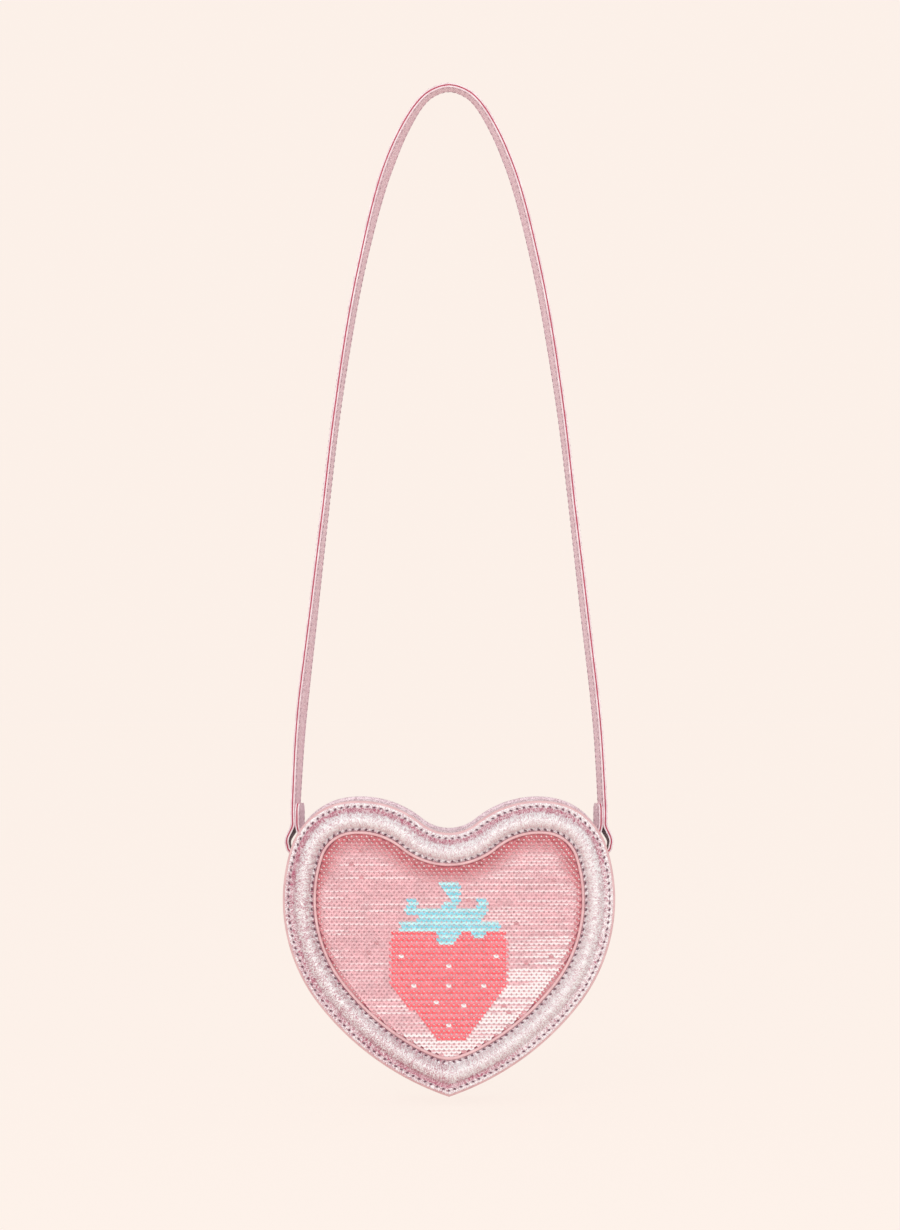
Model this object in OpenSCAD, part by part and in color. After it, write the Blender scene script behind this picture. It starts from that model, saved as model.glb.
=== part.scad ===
// Heart shaped crossbody purse for a child: a padded foil-leather frame round a
// sequin window, a zipped gusset, two rings in tabs and a long flat strap.
// The front faces -Y. The origin is where the strap rests, under its crown.

/* [Heart] */
// Width of the heart over its welts
heart_w = 166.4; // [145:0.2:190]
// Height of the heart from its tip to the top of its lobes
heart_h = 148.3; // [130:0.1:165]
// How far the cleft lies below the top of the lobes
cleft_drop = 16.1; // [13:0.1:19]
// Depth of the bag between the flat margins of its two panels
bag_d = 48; // [42:1:60]

/* [Front panel] */
// Width of the padded frame, from the outline to the window
frame_w = 15.2; // [14:0.1:18]
// Flat stitched margin of the frame beside the outer welt
outer_margin = 2.4; // [1.5:0.1:3]
// Flat stitched margin of the frame beside the window
inner_margin = 1.4; // [1:0.1:2]
// How far the padding stands out of the flat margins
puff_h = 5.6; // [3:0.1:8]
// Thickness of the foil leather on both panels
skin_t = 1; // [0.8:0.1:1.4]
// Diameter of the outer welts
welt_d = 2.8; // [2.2:0.1:3.4]
// Diameter of the welt round the window
window_welt_d = 1.5; // [1.2:0.1:2]
// Thickness of the cloth that carries the sequins
mesh_t = 0.5; // [0.4:0.1:0.8]
// Height of the layer of overlapping sequins
sequin_t = 0.7; // [0.5:0.1:1]
// Thickness of the stiff boards in both panels
board_t = 1.6; // [1:0.1:2.4]
// Thickness of the lining cloth
lining_t = 0.5; // [0.4:0.1:0.8]

/* [Gusset] */
// Thickness of the gusset leather
gusset_t = 1.2; // [1:0.1:1.5]
// How far the gusset lies inside the outline at its edges
gusset_edge = 1.2; // [0.8:0.1:1.4]
// How far the gusset draws in between its edges
gusset_dip = 5.2; // [4.8:0.1:6]
// Direction of the shoulders at which the zipped mouth ends, in degrees
mouth_angle = 40; // [36:1:44]

/* [Zip] */
// Width of the slot between the two leather strips
slot_w = 11; // [10:0.5:13]
// Width of each zip tape
tape_w = 12; // [10:0.5:14]
// Thickness of the zip tapes
tape_t = 0.6; // [0.5:0.1:0.8]
// Distance from one tooth of a row to the next
tooth_pitch = 2.5; // [2:0.1:3]
// Height of the teeth across the tape
tooth_h = 2; // [1.6:0.1:2.4]
// Width of one row of teeth, without its noses
tooth_w = 1.7; // [1.4:0.1:2]
// How far the noses of the teeth reach past the middle
nose_w = 0.5; // [0.3:0.1:0.6]
// Length of the slider
slider_l = 10; // [9:0.5:11]
// Width of the slider
slider_w = 8.4; // [7.8:0.1:9]
// Thickness of the slider's two plates
plate_t = 1.1; // [0.9:0.1:1.3]
// Length of the pull from its pin to its end
pull_l = 11; // [9:0.5:12]
// Width of the pull
pull_w = 5; // [4.6:0.1:5.6]
// Thickness of the pull
pull_t = 1.2; // [1:0.1:1.3]

/* [Rings and tabs] */
// Clear width inside the rings
ring_w = 12; // [11.5:0.5:13]
// Height of a ring from its bar to the top of its bow
ring_h = 10.5; // [10:0.1:11.5]
// Diameter of the ring wire
wire_d = 2; // [1.8:0.1:2.2]
// Direction of the gusset at which the rings' bars lie, in degrees
tab_angle = 12; // [10:0.5:14]
// Thickness of the leather of the tabs
tab_t = 1.3; // [1.1:0.1:1.5]
// Length of the tabs below the rings' bars
tab_l = 14; // [11:1:18]

/* [Strap] */
// Height from the bows of the rings to the underside of the crown
strap_drop = 381; // [300:1:520]
// Width of the strap
strap_w = 10; // [9:0.5:10.5]
// Thickness of the foil plies on both faces of the strap
ply_t = 0.7; // [0.6:0.05:0.8]
// Thickness of the red core between the plies
core_t = 0.7; // [0.6:0.05:0.8]
// Clear half width of the end loops round the rings
loop_r = 1.8; // [1.7:0.1:2.1]
// Height from the loops' round ends to where their strands meet
loop_h = 12; // [11:0.5:15]
// Length of the stitched tails above there
tail_l = 9.6; // [7:0.2:14]
// Turn of the legs that shows their inner face, in degrees
strap_turn = 15; // [5:1:18]

/* [Hidden] */

// Gap between sewn pieces that lie against each other
seam_gap = 0.1;
// Radial clearance of the wire in the tabs and of the pin in the bridge
run_gap = 0.08;
// Clearance of the slider over the teeth and the tapes
slide_gap = 0.15;
// Length of one facet along the outline and along the strap
facet_l = 7;
strap_facet_l = 18;
$fn = 48;

foil = [0.91, 0.74, 0.78];
pale = [0.94, 0.77, 0.78];
rose = [0.93, 0.66, 0.7];
red = [0.82, 0.3, 0.4];
cloth = [0.96, 0.86, 0.88];
board_grey = [0.8, 0.78, 0.76];
brass = [0.83, 0.66, 0.3];

// The heart is a chain of arcs that run into each other. Its shape follows its
// width and its height by these shares.
side_r_share = 1.0276;
top_r_share = 0.597;
shoulder_r_share = 0.399;
lobe_x_share = 0.542;
widest_share = 0.6655;
zip_lobe_share = 0.529;
side_sweep = 38.1;

function dir(a) = [cos(a), sin(a)];
function sq(v) = v * v;
function smooth(s) = let(u = min(max(s, 0), 1)) u * u * (3 - 2 * u);

half_w = heart_w / 2;
side_r = half_w * side_r_share;
top_r = half_w * top_r_share;
shoulder_r = half_w * shoulder_r_share;
lobe_x = half_w * lobe_x_share;
side_c = [half_w - side_r, heart_h * widest_share];
top_c = [lobe_x, heart_h - top_r];
cleft_r = sq(lobe_x) / (2 * cleft_drop) - top_r + cleft_drop / 2;
cleft_c = [0, heart_h - cleft_drop + cleft_r];

// The shoulder arc touches the top arc and the side arc from inside.
span = top_c - side_c;
span_l = norm(span);
to_top = top_r - shoulder_r;
to_side = side_r - shoulder_r;
along = (sq(to_side) - sq(to_top) + sq(span_l)) / (2 * span_l);
across = sqrt(sq(to_side) - sq(along));
shoulder_c = side_c + (along * span + across * [-span.y, span.x]) / span_l;

// The lower arc touches the side arc and runs through the tip.
side_end = side_c + side_r * dir(-side_sweep);
lower_r = side_end * side_end / (2 * side_end * dir(-side_sweep));
lower_c = side_end - lower_r * dir(-side_sweep);

function heading(v) = atan2(v.y, v.x);
cleft_end = heading(cleft_c - top_c);
top_end = heading(shoulder_c - top_c);
shoulder_end = heading(shoulder_c - side_c);

// Arcs of the right half from the cleft to the tip: centre, radius (negative
// where the arc is hollow), and the outward direction at its start and its end.
ARCS = [[cleft_c, -cleft_r, 90, cleft_end],
    [top_c, top_r, cleft_end, top_end],
    [shoulder_c, shoulder_r, top_end, mouth_angle],
    [shoulder_c, shoulder_r, mouth_angle, shoulder_end],
    [side_c, side_r, shoulder_end, -side_sweep],
    [lower_c, lower_r, -side_sweep, -90]];
tip_arc = len(ARCS) - 1;
mouth_arcs = 3;

function arc_end(k, d) = k == tip_arc ? -acos(-lower_c.x / (lower_r - d)) : ARCS[k][3];
function arc_l(k) = abs(ARCS[k][1] * (arc_end(k, 0) - ARCS[k][2])) * PI / 180;
function arc_steps(k) = max(2, ceil(arc_l(k) / facet_l));
function edge(k, f, d) = let(a = ARCS[k])
    a[0] + (a[1] - d) * dir(a[2] + f * (arc_end(k, d) - a[2]));

// A station is an arc, the share along it, and the half of the heart.
function run(first, last) = [for (k = [first : last]) for (i = [0 : arc_steps(k) - 1])
    [k, i / arc_steps(k), 1]];
function mirrored(list) = [for (i = [len(list) - 1 : -1 : 0]) [list[i][0], list[i][1], -1]];
function tail_of(list) = [for (i = [1 : len(list) - 1]) list[i]];
right_half = run(0, tip_arc);
tip_station = [[tip_arc, 1, 1]];
whole = concat(right_half, tip_station, mirrored(tail_of(right_half)));
mouth_right = concat(run(0, mouth_arcs - 1), [[mouth_arcs, 0, 1]]);
mouth_run = concat(mirrored(tail_of(mouth_right)), mouth_right);
band_right = run(mouth_arcs, tip_arc);
band_run = concat(band_right, tip_station, mirrored(band_right));

// Point at a station, d inside the outline, at depth y
function spot(s, d, y) = let(p = edge(s[0], s[1], d)) [s[2] * p.x, y, p.y];
function outline(d) = [for (s = whole) let(p = edge(s[0], s[1], d)) [s[2] * p.x, p.y]];

// A body swept along rings of points: rings[i][j], closed round or with two ends
module loft(rings, closed) {
    n = len(rings);
    m = len(rings[0]);
    last = closed ? n - 1 : n - 2;
    sides = [for (i = [0 : last]) for (j = [0 : m - 1])
        let(a = i * m + j, b = i * m + (j + 1) % m, k = (i + 1) % n,
            c = k * m + (j + 1) % m, d = k * m + j)
        each (j < m / 2 ? [[a, b, c], [a, c, d]] : [[a, b, d], [b, c, d]])];
    ends = closed ? [] : [[for (j = [m - 1 : -1 : 0]) j], [for (j = [0 : m - 1]) (n - 1) * m + j]];
    polyhedron([for (r = rings) each r], concat(sides, ends), convexity = 10);
}

module sweep(stations, section, closed) {
    loft([for (s = stations) [for (q = section) spot(s, q[0], q[1])]], closed);
}

// A flat sheet of the heart's shape, d inside the outline, from y0 to y1
module sheet(d, y0, y1) {
    translate([0, y1, 0])
        rotate([90, 0, 0])
            linear_extrude(height = y1 - y0)
                polygon(outline(d));
}

function round_section(d, y, r, sides) = [for (i = [0 : sides - 1])
    [d, y] + r * dir((i + 0.5) * 360 / sides)];
welt_sides = 6;

// Depths of the layers, counted inwards from a panel's flat margin
half_d = bag_d / 2;
welt_r = welt_d / 2;
welt_proud = 0.3;
welt_back = welt_d - welt_proud;
mesh_front = skin_t + seam_gap / 2;
mesh_back = mesh_front + mesh_t;
board_front = mesh_back + seam_gap / 2;
board_back = board_front + board_t;
lining_front = board_back + seam_gap / 2;
lining_back = lining_front + lining_t;

// The gusset runs from welt to welt and draws in between them.
gusset_half = half_d - max(welt_back, mesh_back) - seam_gap;
function gusset_at(y) = gusset_edge + gusset_dip * (1 - sq(y / gusset_half));
panel_inset = welt_d + seam_gap;
board_inset = max(panel_inset, gusset_at(half_d - lining_back) + gusset_t + seam_gap);
window_welt_r = window_welt_d / 2;
window_inset = frame_w + window_welt_r;
sequin_inset = window_inset + window_welt_r + seam_gap / 2;

// Cross section of the padded frame: shares along and up its puff
puff_shares = [[0, 0], [0.1, 0.5], [0.3, 0.9], [0.5, 1], [0.7, 0.9], [0.9, 0.5], [1, 0]];
puff_start = panel_inset + outer_margin;
puff_end = frame_w - seam_gap - inner_margin;
frame_edge = frame_w - seam_gap;
puff_line = [for (s = puff_shares)
    [puff_start + s[0] * (puff_end - puff_start), -half_d - s[1] * puff_h]];
function shifted(list, y) = [for (q = list) [q[0], q[1] + y]];
function reversed(list) = [for (i = [len(list) - 1 : -1 : 0]) list[i]];
frame_front = concat([[panel_inset, -half_d]], puff_line, [[frame_edge, -half_d]]);
frame_section = concat(reversed(frame_front), shifted(frame_front, skin_t));
foam_crown = [for (i = [1 : len(puff_line) - 2]) puff_line[i] + [0, skin_t]];
foam_base = -half_d + skin_t;
foam_edge = (puff_line[1] - puff_line[0])[0] / 2;
foam_section = concat([[puff_end - foam_edge, foam_base]], reversed(foam_crown),
    [[puff_start + foam_edge, foam_base]]);

// Profile of the gusset across the bag, from depth y0 to y1
gusset_steps = 3;
function gusset_line(y0, y1, in) = [for (i = [0 : gusset_steps])
    let(y = y0 + (y1 - y0) * i / gusset_steps) [gusset_at(y) + in, y]];
function gusset_section(y0, y1, in, t) = concat(gusset_line(y0, y1, in),
    reversed(gusset_line(y0, y1, in + t)));

// Turn between the mouth's ends and the zip that starts beside them
end_gap = 0.5;

// The zip follows an arc in each lobe and one through the cleft. Its outer
// face lies just under the leather strips.
zip_inset = gusset_at(slot_w / 2) + gusset_t + seam_gap;
zip_top = heart_h - zip_inset;
zip_x = half_w * zip_lobe_share;
zip_side_r = side_r - zip_inset;
zip_rise = zip_top - side_c.y;
zip_r = (sq(zip_side_r) - sq(zip_x - side_c.x) - sq(zip_rise)) / (2 * (zip_side_r - zip_rise));
zip_c = [zip_x, zip_top - zip_r];
zip_cleft_r = sq(zip_x) / (2 * cleft_drop) - zip_r + cleft_drop / 2;
zip_cleft_c = [0, zip_top - cleft_drop + zip_cleft_r];
zip_turn = heading(zip_cleft_c - zip_c);
zip_cleft_l = zip_cleft_r * (zip_turn - 90) * PI / 180;
mouth_way = heading(edge(mouth_arcs, 0, zip_inset) - zip_c) + end_gap;
zip_end = zip_cleft_l + zip_r * (zip_turn - mouth_way) * PI / 180;

// Outward direction and point of the zip, s along it from the cleft
function zip_way(s) = abs(s) < zip_cleft_l ? 90 + abs(s) / zip_cleft_r * 180 / PI
    : zip_turn - (abs(s) - zip_cleft_l) / zip_r * 180 / PI;
function zip_point(s, up) = let(a = zip_way(s), p = abs(s) < zip_cleft_l
    ? zip_cleft_c - (zip_cleft_r - up) * dir(a) : zip_c + (zip_r + up) * dir(a))
    [s < 0 ? -p.x : p.x, p.y];

module on_zip(s) {
    p = zip_point(s, 0);
    a = s < 0 ? 180 - zip_way(s) : zip_way(s);
    translate([p.x, 0, p.y])
        rotate([0, 90 - a, 0])
            children();
}

// Ring of revolution round the centre of the right lobe's zip arc, from height
// up0 to up1 over the tape, between two directions, from depth y0 to y1
module zip_arc(up0, up1, a0, a1, y0, y1) {
    translate([zip_c.x, 0, zip_c.y])
        rotate([90, 0, 0])
            rotate([0, 0, a0])
                rotate_extrude(angle = a1 - a0, $fn = 180)
                    translate([zip_r + up0, -y1])
                        square([up1 - up0, y1 - y0]);
}

// The slider rests at the closed end, just before the right end cover.
slider_deg = slider_l / zip_r * 180 / PI;
cover_deg = 9;
slider_way = mouth_way + cover_deg + slider_deg / 2 + end_gap;
slider_s = zip_cleft_l + zip_r * (zip_turn - slider_way) * PI / 180;
divider_l = slider_l * 0.2;
divider_start = slider_s + slider_l / 2 - divider_l - plate_t / 2;
divider_half = nose_w + slide_gap;
stop_l = divider_l * 0.8;
row_start = -zip_end + zip_r * (cover_deg + end_gap) * PI / 180 + stop_l;
row_end = divider_start - slide_gap;
row_count = floor((row_end - row_start) / tooth_pitch - 0.5);
tooth_l = tooth_pitch * 0.44;
teeth_low = -tape_t / 2 - tooth_h / 2;
teeth_top = teeth_low + tooth_h;
plate_low = teeth_top + slide_gap;
plate_top = plate_low + plate_t;
under_top = teeth_low - slide_gap;
pin_r = pull_t / 2 + run_gap;
pin_up = plate_top + seam_gap + pin_r;
bridge_w = pull_w * 0.44;
bridge_wall = 0.8;
pull_tilt = 5;

// The rings stand upright over the tabs, and the strap's loops hang on their bows.
wire_r = wire_d / 2;
tab_w = ring_w - 1;
tab_base_r = side_r - gusset_at(gusset_half / gusset_steps) + seam_gap;
bar_r = tab_base_r + tab_t + run_gap + wire_r;
bar = side_c + bar_r * dir(tab_angle);
bow_r = ring_w / 2 + wire_r;
bow_h = bar.y + ring_h;
swing_h = bow_h - bow_r;
heart_z = -strap_drop - bow_h;

// Middle line of the strap's right half from the crown, in the row's frame.
// Shares of the leg's reach and of its fall, read off the hanging strap
leg_shares = [[0, 0], [0.118, 0.0079], [0.199, 0.0241], [0.282, 0.0522], [0.352, 0.083],
    [0.436, 0.1305], [0.526, 0.2008], [0.626, 0.2993], [0.732, 0.4403], [0.812, 0.581],
    [0.89, 0.7224], [0.966, 0.863], [0.9994, 0.976], [1, 1]];
strap_t = 2 * ply_t + core_t;
half_strap = strap_w / 2;
loop_shift = 0.4;
loop_low = heart_z + swing_h + sqrt(sq(bow_r - wire_r) - sq(half_strap)) - seam_gap;
loop_c = [bar.x + loop_shift, loop_low + loop_r];
loop_line_r = loop_r + strap_t / 2;
strand_apart = strap_t / 2 + seam_gap / 2;
seam_lean = loop_r;
seam_x = loop_c.x - seam_lean;
leg_foot = [seam_x + strand_apart, loop_c.y + loop_h];
leg_fall = strap_t / 2 - leg_foot.y;
leg_points = [for (s = leg_shares) [s[0] * leg_foot.x, strap_t / 2 - s[1] * leg_fall]];

// Smooth curve through points, with a level start and an upright end
function knot(p, i) = i == 0 ? 0 : knot(p, i - 1) + norm(p[i] - p[i - 1]);
leg_knots = [for (i = [0 : len(leg_points) - 1]) knot(leg_points, i)];
function leg_slope(i) = i == 0 ? [1, 0] : i == len(leg_points) - 1 ? [0, -1]
    : (leg_points[i + 1] - leg_points[i - 1]) / (leg_knots[i + 1] - leg_knots[i - 1]);
function leg_curve(i, u) = let(h = leg_knots[i + 1] - leg_knots[i], v = u * u, w = v * u)
    (2 * w - 3 * v + 1) * leg_points[i] + (w - 2 * v + u) * h * leg_slope(i)
    + (3 * v - 2 * w) * leg_points[i + 1] + (w - v) * h * leg_slope(i + 1);
function leg_steps(i) = 2 + ceil((leg_knots[i + 1] - leg_knots[i]) / strap_facet_l);
leg_line = [for (i = [0 : len(leg_points) - 2]) for (j = [0 : leg_steps(i) - 1])
    leg_curve(i, j / leg_steps(i))];
strand_steps = 5;
round_steps = 8;
function strand(side, u) = [loop_c.x + side * loop_line_r
    + smooth(u) * (seam_x + side * strand_apart - loop_c.x - side * loop_line_r),
    loop_c.y + u * loop_h];
outer_strand = [for (i = [strand_steps : -1 : 1]) strand(1, i / strand_steps)];
loop_round = [for (i = [0 : round_steps]) loop_c + loop_line_r * dir(-180 * i / round_steps)];
inner_strand = [for (i = [1 : strand_steps]) strand(-1, i / strand_steps)];
tail_x = seam_x - strand_apart;
tail_shares = [0.3, 0.6, 0.8, 0.9, 0.96, 1];
tail_line = [for (s = tail_shares) [tail_x, leg_foot.y + s * tail_l]];
right_line = concat(leg_line, outer_strand, loop_round, inner_strand, tail_line);
left_line = [for (i = [len(right_line) - 1 : -1 : 1]) [-right_line[i].x, right_line[i].y]];
strap_line = concat(left_line, right_line);

// Turn of the strap about its own line at a point. Tails turn with their legs.
full_turn_share = 0.3;
function turn_at(p, out) = let(low = smooth((p.y - loop_c.y) / loop_h),
    high = smooth(-p.y / (leg_fall * full_turn_share)))
    (out.x * p.x < 0 ? -1 : 1) * strap_turn * min(low, high);

// Half width of the strap at a point, with tails that end in a round
tail_tip_share = 0.25;
function width_at(p, out) = let(s = leg_foot.y + tail_l - p.y + tail_tip_share * half_strap)
    out.x * p.x < 0 && s < half_strap ? sqrt(sq(half_strap) - sq(half_strap - s)) : half_strap;

// One ply of the strap between two distances from its middle line
module ply(out0, out1) {
    n = len(strap_line);
    loft([for (i = [0 : n - 1])
        let(p = strap_line[i], q = strap_line[min(i + 1, n - 1)] - strap_line[max(i - 1, 0)],
            out = [-q.y, 0, q.x] / norm(q), w = width_at(p, out), a = turn_at(p, out),
            level = [-out.x * sin(a), cos(a), -out.z * sin(a)],
            face = [out.x * cos(a), sin(a), out.z * cos(a)])
        [for (c = [[out0, -w], [out1, -w], [out1, w], [out0, w]])
            [p.x, 0, p.y] + c[0] * face + c[1] * level]], false);
}

module strap_outer_ply() {
    color(foil)
        ply(core_t / 2, core_t / 2 + ply_t);
}

module strap_core() {
    color(red)
        ply(-core_t / 2, core_t / 2);
}

module strap_inner_ply() {
    color(foil)
        ply(-core_t / 2 - ply_t, -core_t / 2);
}

module in_heart() {
    translate([0, 0, heart_z])
        children();
}

// Foil leather drawn over a ring of foam, with a flat margin on both sides
module front_frame() {
    color(foil)
        in_heart()
            sweep(whole, frame_section, true);
}

module frame_foam() {
    color(cloth)
        in_heart()
            sweep(whole, foam_section, true);
}

module front_welt() {
    color(pale)
        in_heart()
            sweep(whole, round_section(welt_r, -half_d - welt_proud + welt_r, welt_r, welt_sides), true);
}

module back_welt() {
    color(foil)
        in_heart()
            sweep(whole, round_section(welt_r, half_d + welt_proud - welt_r, welt_r, welt_sides), true);
}

module window_welt() {
    color(pale)
        in_heart()
            sweep(whole, round_section(window_inset, -half_d + mesh_front - seam_gap / 2 - window_welt_r,
                window_welt_r, welt_sides), true);
}

module sequin_field() {
    color(rose)
        in_heart()
            sheet(sequin_inset, -half_d + mesh_front - sequin_t, -half_d + mesh_front);
}

module sequin_cloth() {
    color(rose)
        in_heart()
            sheet(panel_inset, -half_d + mesh_front, -half_d + mesh_back);
}

module front_board() {
    color(board_grey)
        in_heart()
            sheet(board_inset, -half_d + board_front, -half_d + board_back);
}

module front_lining() {
    color(cloth)
        in_heart()
            sheet(board_inset, -half_d + lining_front, -half_d + lining_back);
}

module back_panel() {
    color(foil)
        in_heart()
            sheet(panel_inset, half_d - skin_t, half_d);
}

module back_board() {
    color(board_grey)
        in_heart()
            sheet(board_inset, half_d - board_back, half_d - mesh_front);
}

module back_lining() {
    color(cloth)
        in_heart()
            sheet(board_inset, half_d - lining_back, half_d - lining_front);
}

// The long lower gusset runs from one end of the mouth round the tip to the other.
module gusset_band() {
    color(foil)
        in_heart()
            sweep(band_run, gusset_section(-gusset_half, gusset_half, 0, gusset_t), false);
}

module gusset_lining() {
    reach = half_d - lining_back - seam_gap;
    color(cloth)
        in_heart()
            sweep(band_run, gusset_section(-reach, reach, gusset_t + seam_gap, lining_t), false);
}

module mouth_strip_front() {
    color(foil)
        in_heart()
            sweep(mouth_run, gusset_section(-gusset_half, -slot_w / 2, 0, gusset_t), false);
}

module mouth_strip_back() {
    color(foil)
        in_heart()
            sweep(mouth_run, gusset_section(slot_w / 2, gusset_half, 0, gusset_t), false);
}

// A zip tape lies under its strip, from its row of teeth outwards.
tape_steps = 44;
module zip_tape(y0, y1) {
    line = [for (i = [0 : tape_steps]) zip_end * (2 * i / tape_steps - 1)];
    translate([0, y1, 0])
        rotate([90, 0, 0])
            linear_extrude(height = y1 - y0)
                polygon(concat([for (s = line) zip_point(s, 0)],
                    [for (i = [tape_steps : -1 : 0]) zip_point(line[i], -tape_t)]));
}

module zip_tape_front() {
    color(rose)
        in_heart()
            zip_tape(-tooth_w - tape_w, -tooth_w);
}

module zip_tape_back() {
    color(rose)
        in_heart()
            zip_tape(tooth_w, tooth_w + tape_w);
}

// Teeth of one row: a root against the tape and a nose between the other row's
module tooth(side) {
    reach = tooth_w + nose_w;
    translate([-tooth_l / 2, side < 0 ? -tooth_w : -nose_w, teeth_low])
        cube([tooth_l, reach, tooth_h]);
}

module tooth_row(side, shift) {
    for (i = [0 : row_count - 1])
        on_zip(row_start + (i + shift) * tooth_pitch)
            tooth(side);
}

module zip_teeth_front() {
    color(pale)
        in_heart()
            tooth_row(-1, 0.5);
}

module zip_teeth_back() {
    color(pale)
        in_heart()
            tooth_row(1, 1);
}

// Clamped stops: one on each tape at the closed end, one across both at the other
module zip_top_stops() {
    wall = tooth_w - divider_half - slide_gap;
    color(brass)
        in_heart()
            on_zip(divider_start + stop_l / 2)
                for (side = [-1, 1])
                    translate([-stop_l / 2, side < 0 ? -tooth_w : tooth_w - wall, teeth_low])
                        cube([stop_l, wall, tooth_h]);
}

module zip_bottom_stop() {
    color(brass)
        in_heart()
            on_zip(row_start - stop_l / 2 - seam_gap)
                translate([-stop_l / 2, -tooth_w, teeth_low])
                    cube([stop_l, 2 * tooth_w, tooth_h]);
}

// Leather covers over the ends of the zip
module zip_end_right() {
    color(foil)
        in_heart()
            zip_arc(seam_gap / 2, gusset_t, mouth_way, mouth_way + cover_deg,
                -slot_w / 2 + seam_gap, slot_w / 2 - seam_gap);
}

module zip_end_left() {
    color(foil)
        in_heart()
            mirror([1, 0, 0])
                zip_arc(seam_gap / 2, gusset_t, mouth_way, mouth_way + cover_deg,
                    -slot_w / 2 + seam_gap, slot_w / 2 - seam_gap);
}

// Folded leather loop round a ring's bar, sewn flat on the gusset below it
module tab() {
    loop_out = wire_r + run_gap + tab_t;
    web_out = loop_out * 0.96;
    fall = tab_l / bar_r * 180 / PI;
    throat = 2 * loop_out / bar_r * 180 / PI;
    near = bar_r - web_out;
    far = near + 2 * tab_t;
    line = [for (i = [0 : 4]) throat + i * (fall - throat) / 4];
    difference() {
        union() {
            translate([bar.x, 0, bar.y])
                rotate([90, 0, 0])
                    cylinder(h = tab_w, r = loop_out, center = true);
            rotate([90, 0, 0])
                linear_extrude(height = tab_w, center = true)
                    polygon(concat([bar - web_out * dir(tab_angle)],
                        [for (a = line) side_c + near * dir(tab_angle - a)],
                        [for (a = reversed(line)) side_c + far * dir(tab_angle - a)],
                        [bar + web_out * dir(tab_angle)]));
        }
        translate([bar.x, 0, bar.y])
            rotate([90, 0, 0])
                cylinder(h = tab_w + 2 * tab_t, r = wire_r + run_gap, center = true);
    }
}

module tab_right() {
    color(foil)
        in_heart()
            tab();
}

module tab_left() {
    color(foil)
        in_heart()
            mirror([1, 0, 0])
                tab();
}

// A wire ring with a straight bar in the tab, two short legs and a round bow
module ring() {
    leg_l = ring_h - bow_r;
    translate([bar.x, 0, bar.y]) {
        rotate([90, 0, 0])
            cylinder(h = 2 * (bow_r + wire_r), r = wire_r, center = true);
        for (side = [-1, 1])
            translate([0, side * bow_r, 0])
                cylinder(h = leg_l, r = wire_r * 0.96);
        translate([0, 0, leg_l])
            rotate([90, 0, 90])
                rotate_extrude(angle = 180)
                    translate([bow_r, 0])
                        circle(r = wire_r * 0.96);
    }
}

module ring_right() {
    color(brass)
        in_heart()
            ring();
}

module ring_left() {
    color(brass)
        in_heart()
            mirror([1, 0, 0])
                ring();
}

// Two curved plates with turned-in rims, joined by a divider at the nose, and
// a bridge that holds the pull's pin
module zip_slider() {
    a0 = slider_way - slider_deg / 2;
    a1 = slider_way + slider_deg / 2;
    rim_w = 1;
    rim_in = slider_w / 2 - rim_w;
    divider_end = zip_turn - (divider_start - zip_cleft_l) / zip_r * 180 / PI;
    divider_deg = divider_l / zip_r * 180 / PI;
    color(brass)
        in_heart() {
            zip_arc(plate_low, plate_top, a0, a1, -slider_w / 2, slider_w / 2);
            zip_arc(under_top - plate_t, under_top, a0, a1, -slider_w / 2, slider_w / 2);
            for (side = [0, 1])
                mirror([0, side, 0]) {
                    zip_arc(slide_gap, plate_top, a0, a1, rim_in, slider_w / 2);
                    zip_arc(under_top - plate_t, -tape_t - slide_gap, a0, a1, rim_in, slider_w / 2);
                }
            zip_arc(under_top - plate_t / 2, plate_low + plate_t / 2, divider_end - divider_deg,
                divider_end, -divider_half, divider_half);
            on_zip(slider_s)
                difference() {
                    union() {
                        translate([-pin_r - bridge_wall, -bridge_w / 2, plate_top - plate_t / 2])
                            cube([2 * (pin_r + bridge_wall), bridge_w, pin_up - plate_top + plate_t / 2]);
                        translate([0, 0, pin_up])
                            rotate([90, 0, 0])
                                cylinder(h = bridge_w, r = pin_r + bridge_wall, center = true);
                    }
                    translate([0, 0, pin_up])
                        rotate([90, 0, 0])
                            cylinder(h = 2 * bridge_w, r = pin_r, center = true);
                }
        }
}

// A flat pull with an eye round the slider's bridge, lying back over the lobe
module zip_pull() {
    eye = pin_r + bridge_wall + 2 * slide_gap;
    color(brass)
        in_heart()
            on_zip(slider_s)
                translate([0, 0, pin_up])
                    rotate([0, -pull_tilt, 0]) {
                        rotate([90, 0, 0])
                            cylinder(h = pull_w, r = pull_t / 2, center = true);
                        translate([0, 0, -pull_t / 2])
                            linear_extrude(height = pull_t)
                                difference() {
                                    union() {
                                        translate([-pull_l + pull_w / 2, -pull_w / 2])
                                            square([pull_l - pull_w / 2, pull_w]);
                                        translate([-pull_l + pull_w / 2, 0])
                                            circle(d = pull_w);
                                    }
                                    translate([-eye, -bridge_w / 2 - slide_gap])
                                        square([2 * eye, bridge_w + 2 * slide_gap]);
                                    translate([-pull_l + pull_w / 2, 0])
                                        circle(d = pull_w / 3);
                                }
                    }
}

strap_outer_ply();
strap_core();
strap_inner_ply();
front_frame();
frame_foam();
front_welt();
window_welt();
sequin_field();
sequin_cloth();
front_board();
front_lining();
back_panel();
back_board();
back_lining();
back_welt();
gusset_band();
gusset_lining();
mouth_strip_front();
mouth_strip_back();
zip_tape_front();
zip_tape_back();
zip_teeth_front();
zip_teeth_back();
zip_top_stops();
zip_bottom_stop();
zip_end_left();
zip_end_right();
tab_left();
tab_right();
ring_left();
ring_right();
zip_slider();
zip_pull();
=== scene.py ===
from math import acos, atan2, ceil, cos, degrees, hypot, pi, radians, sin, sqrt

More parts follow.
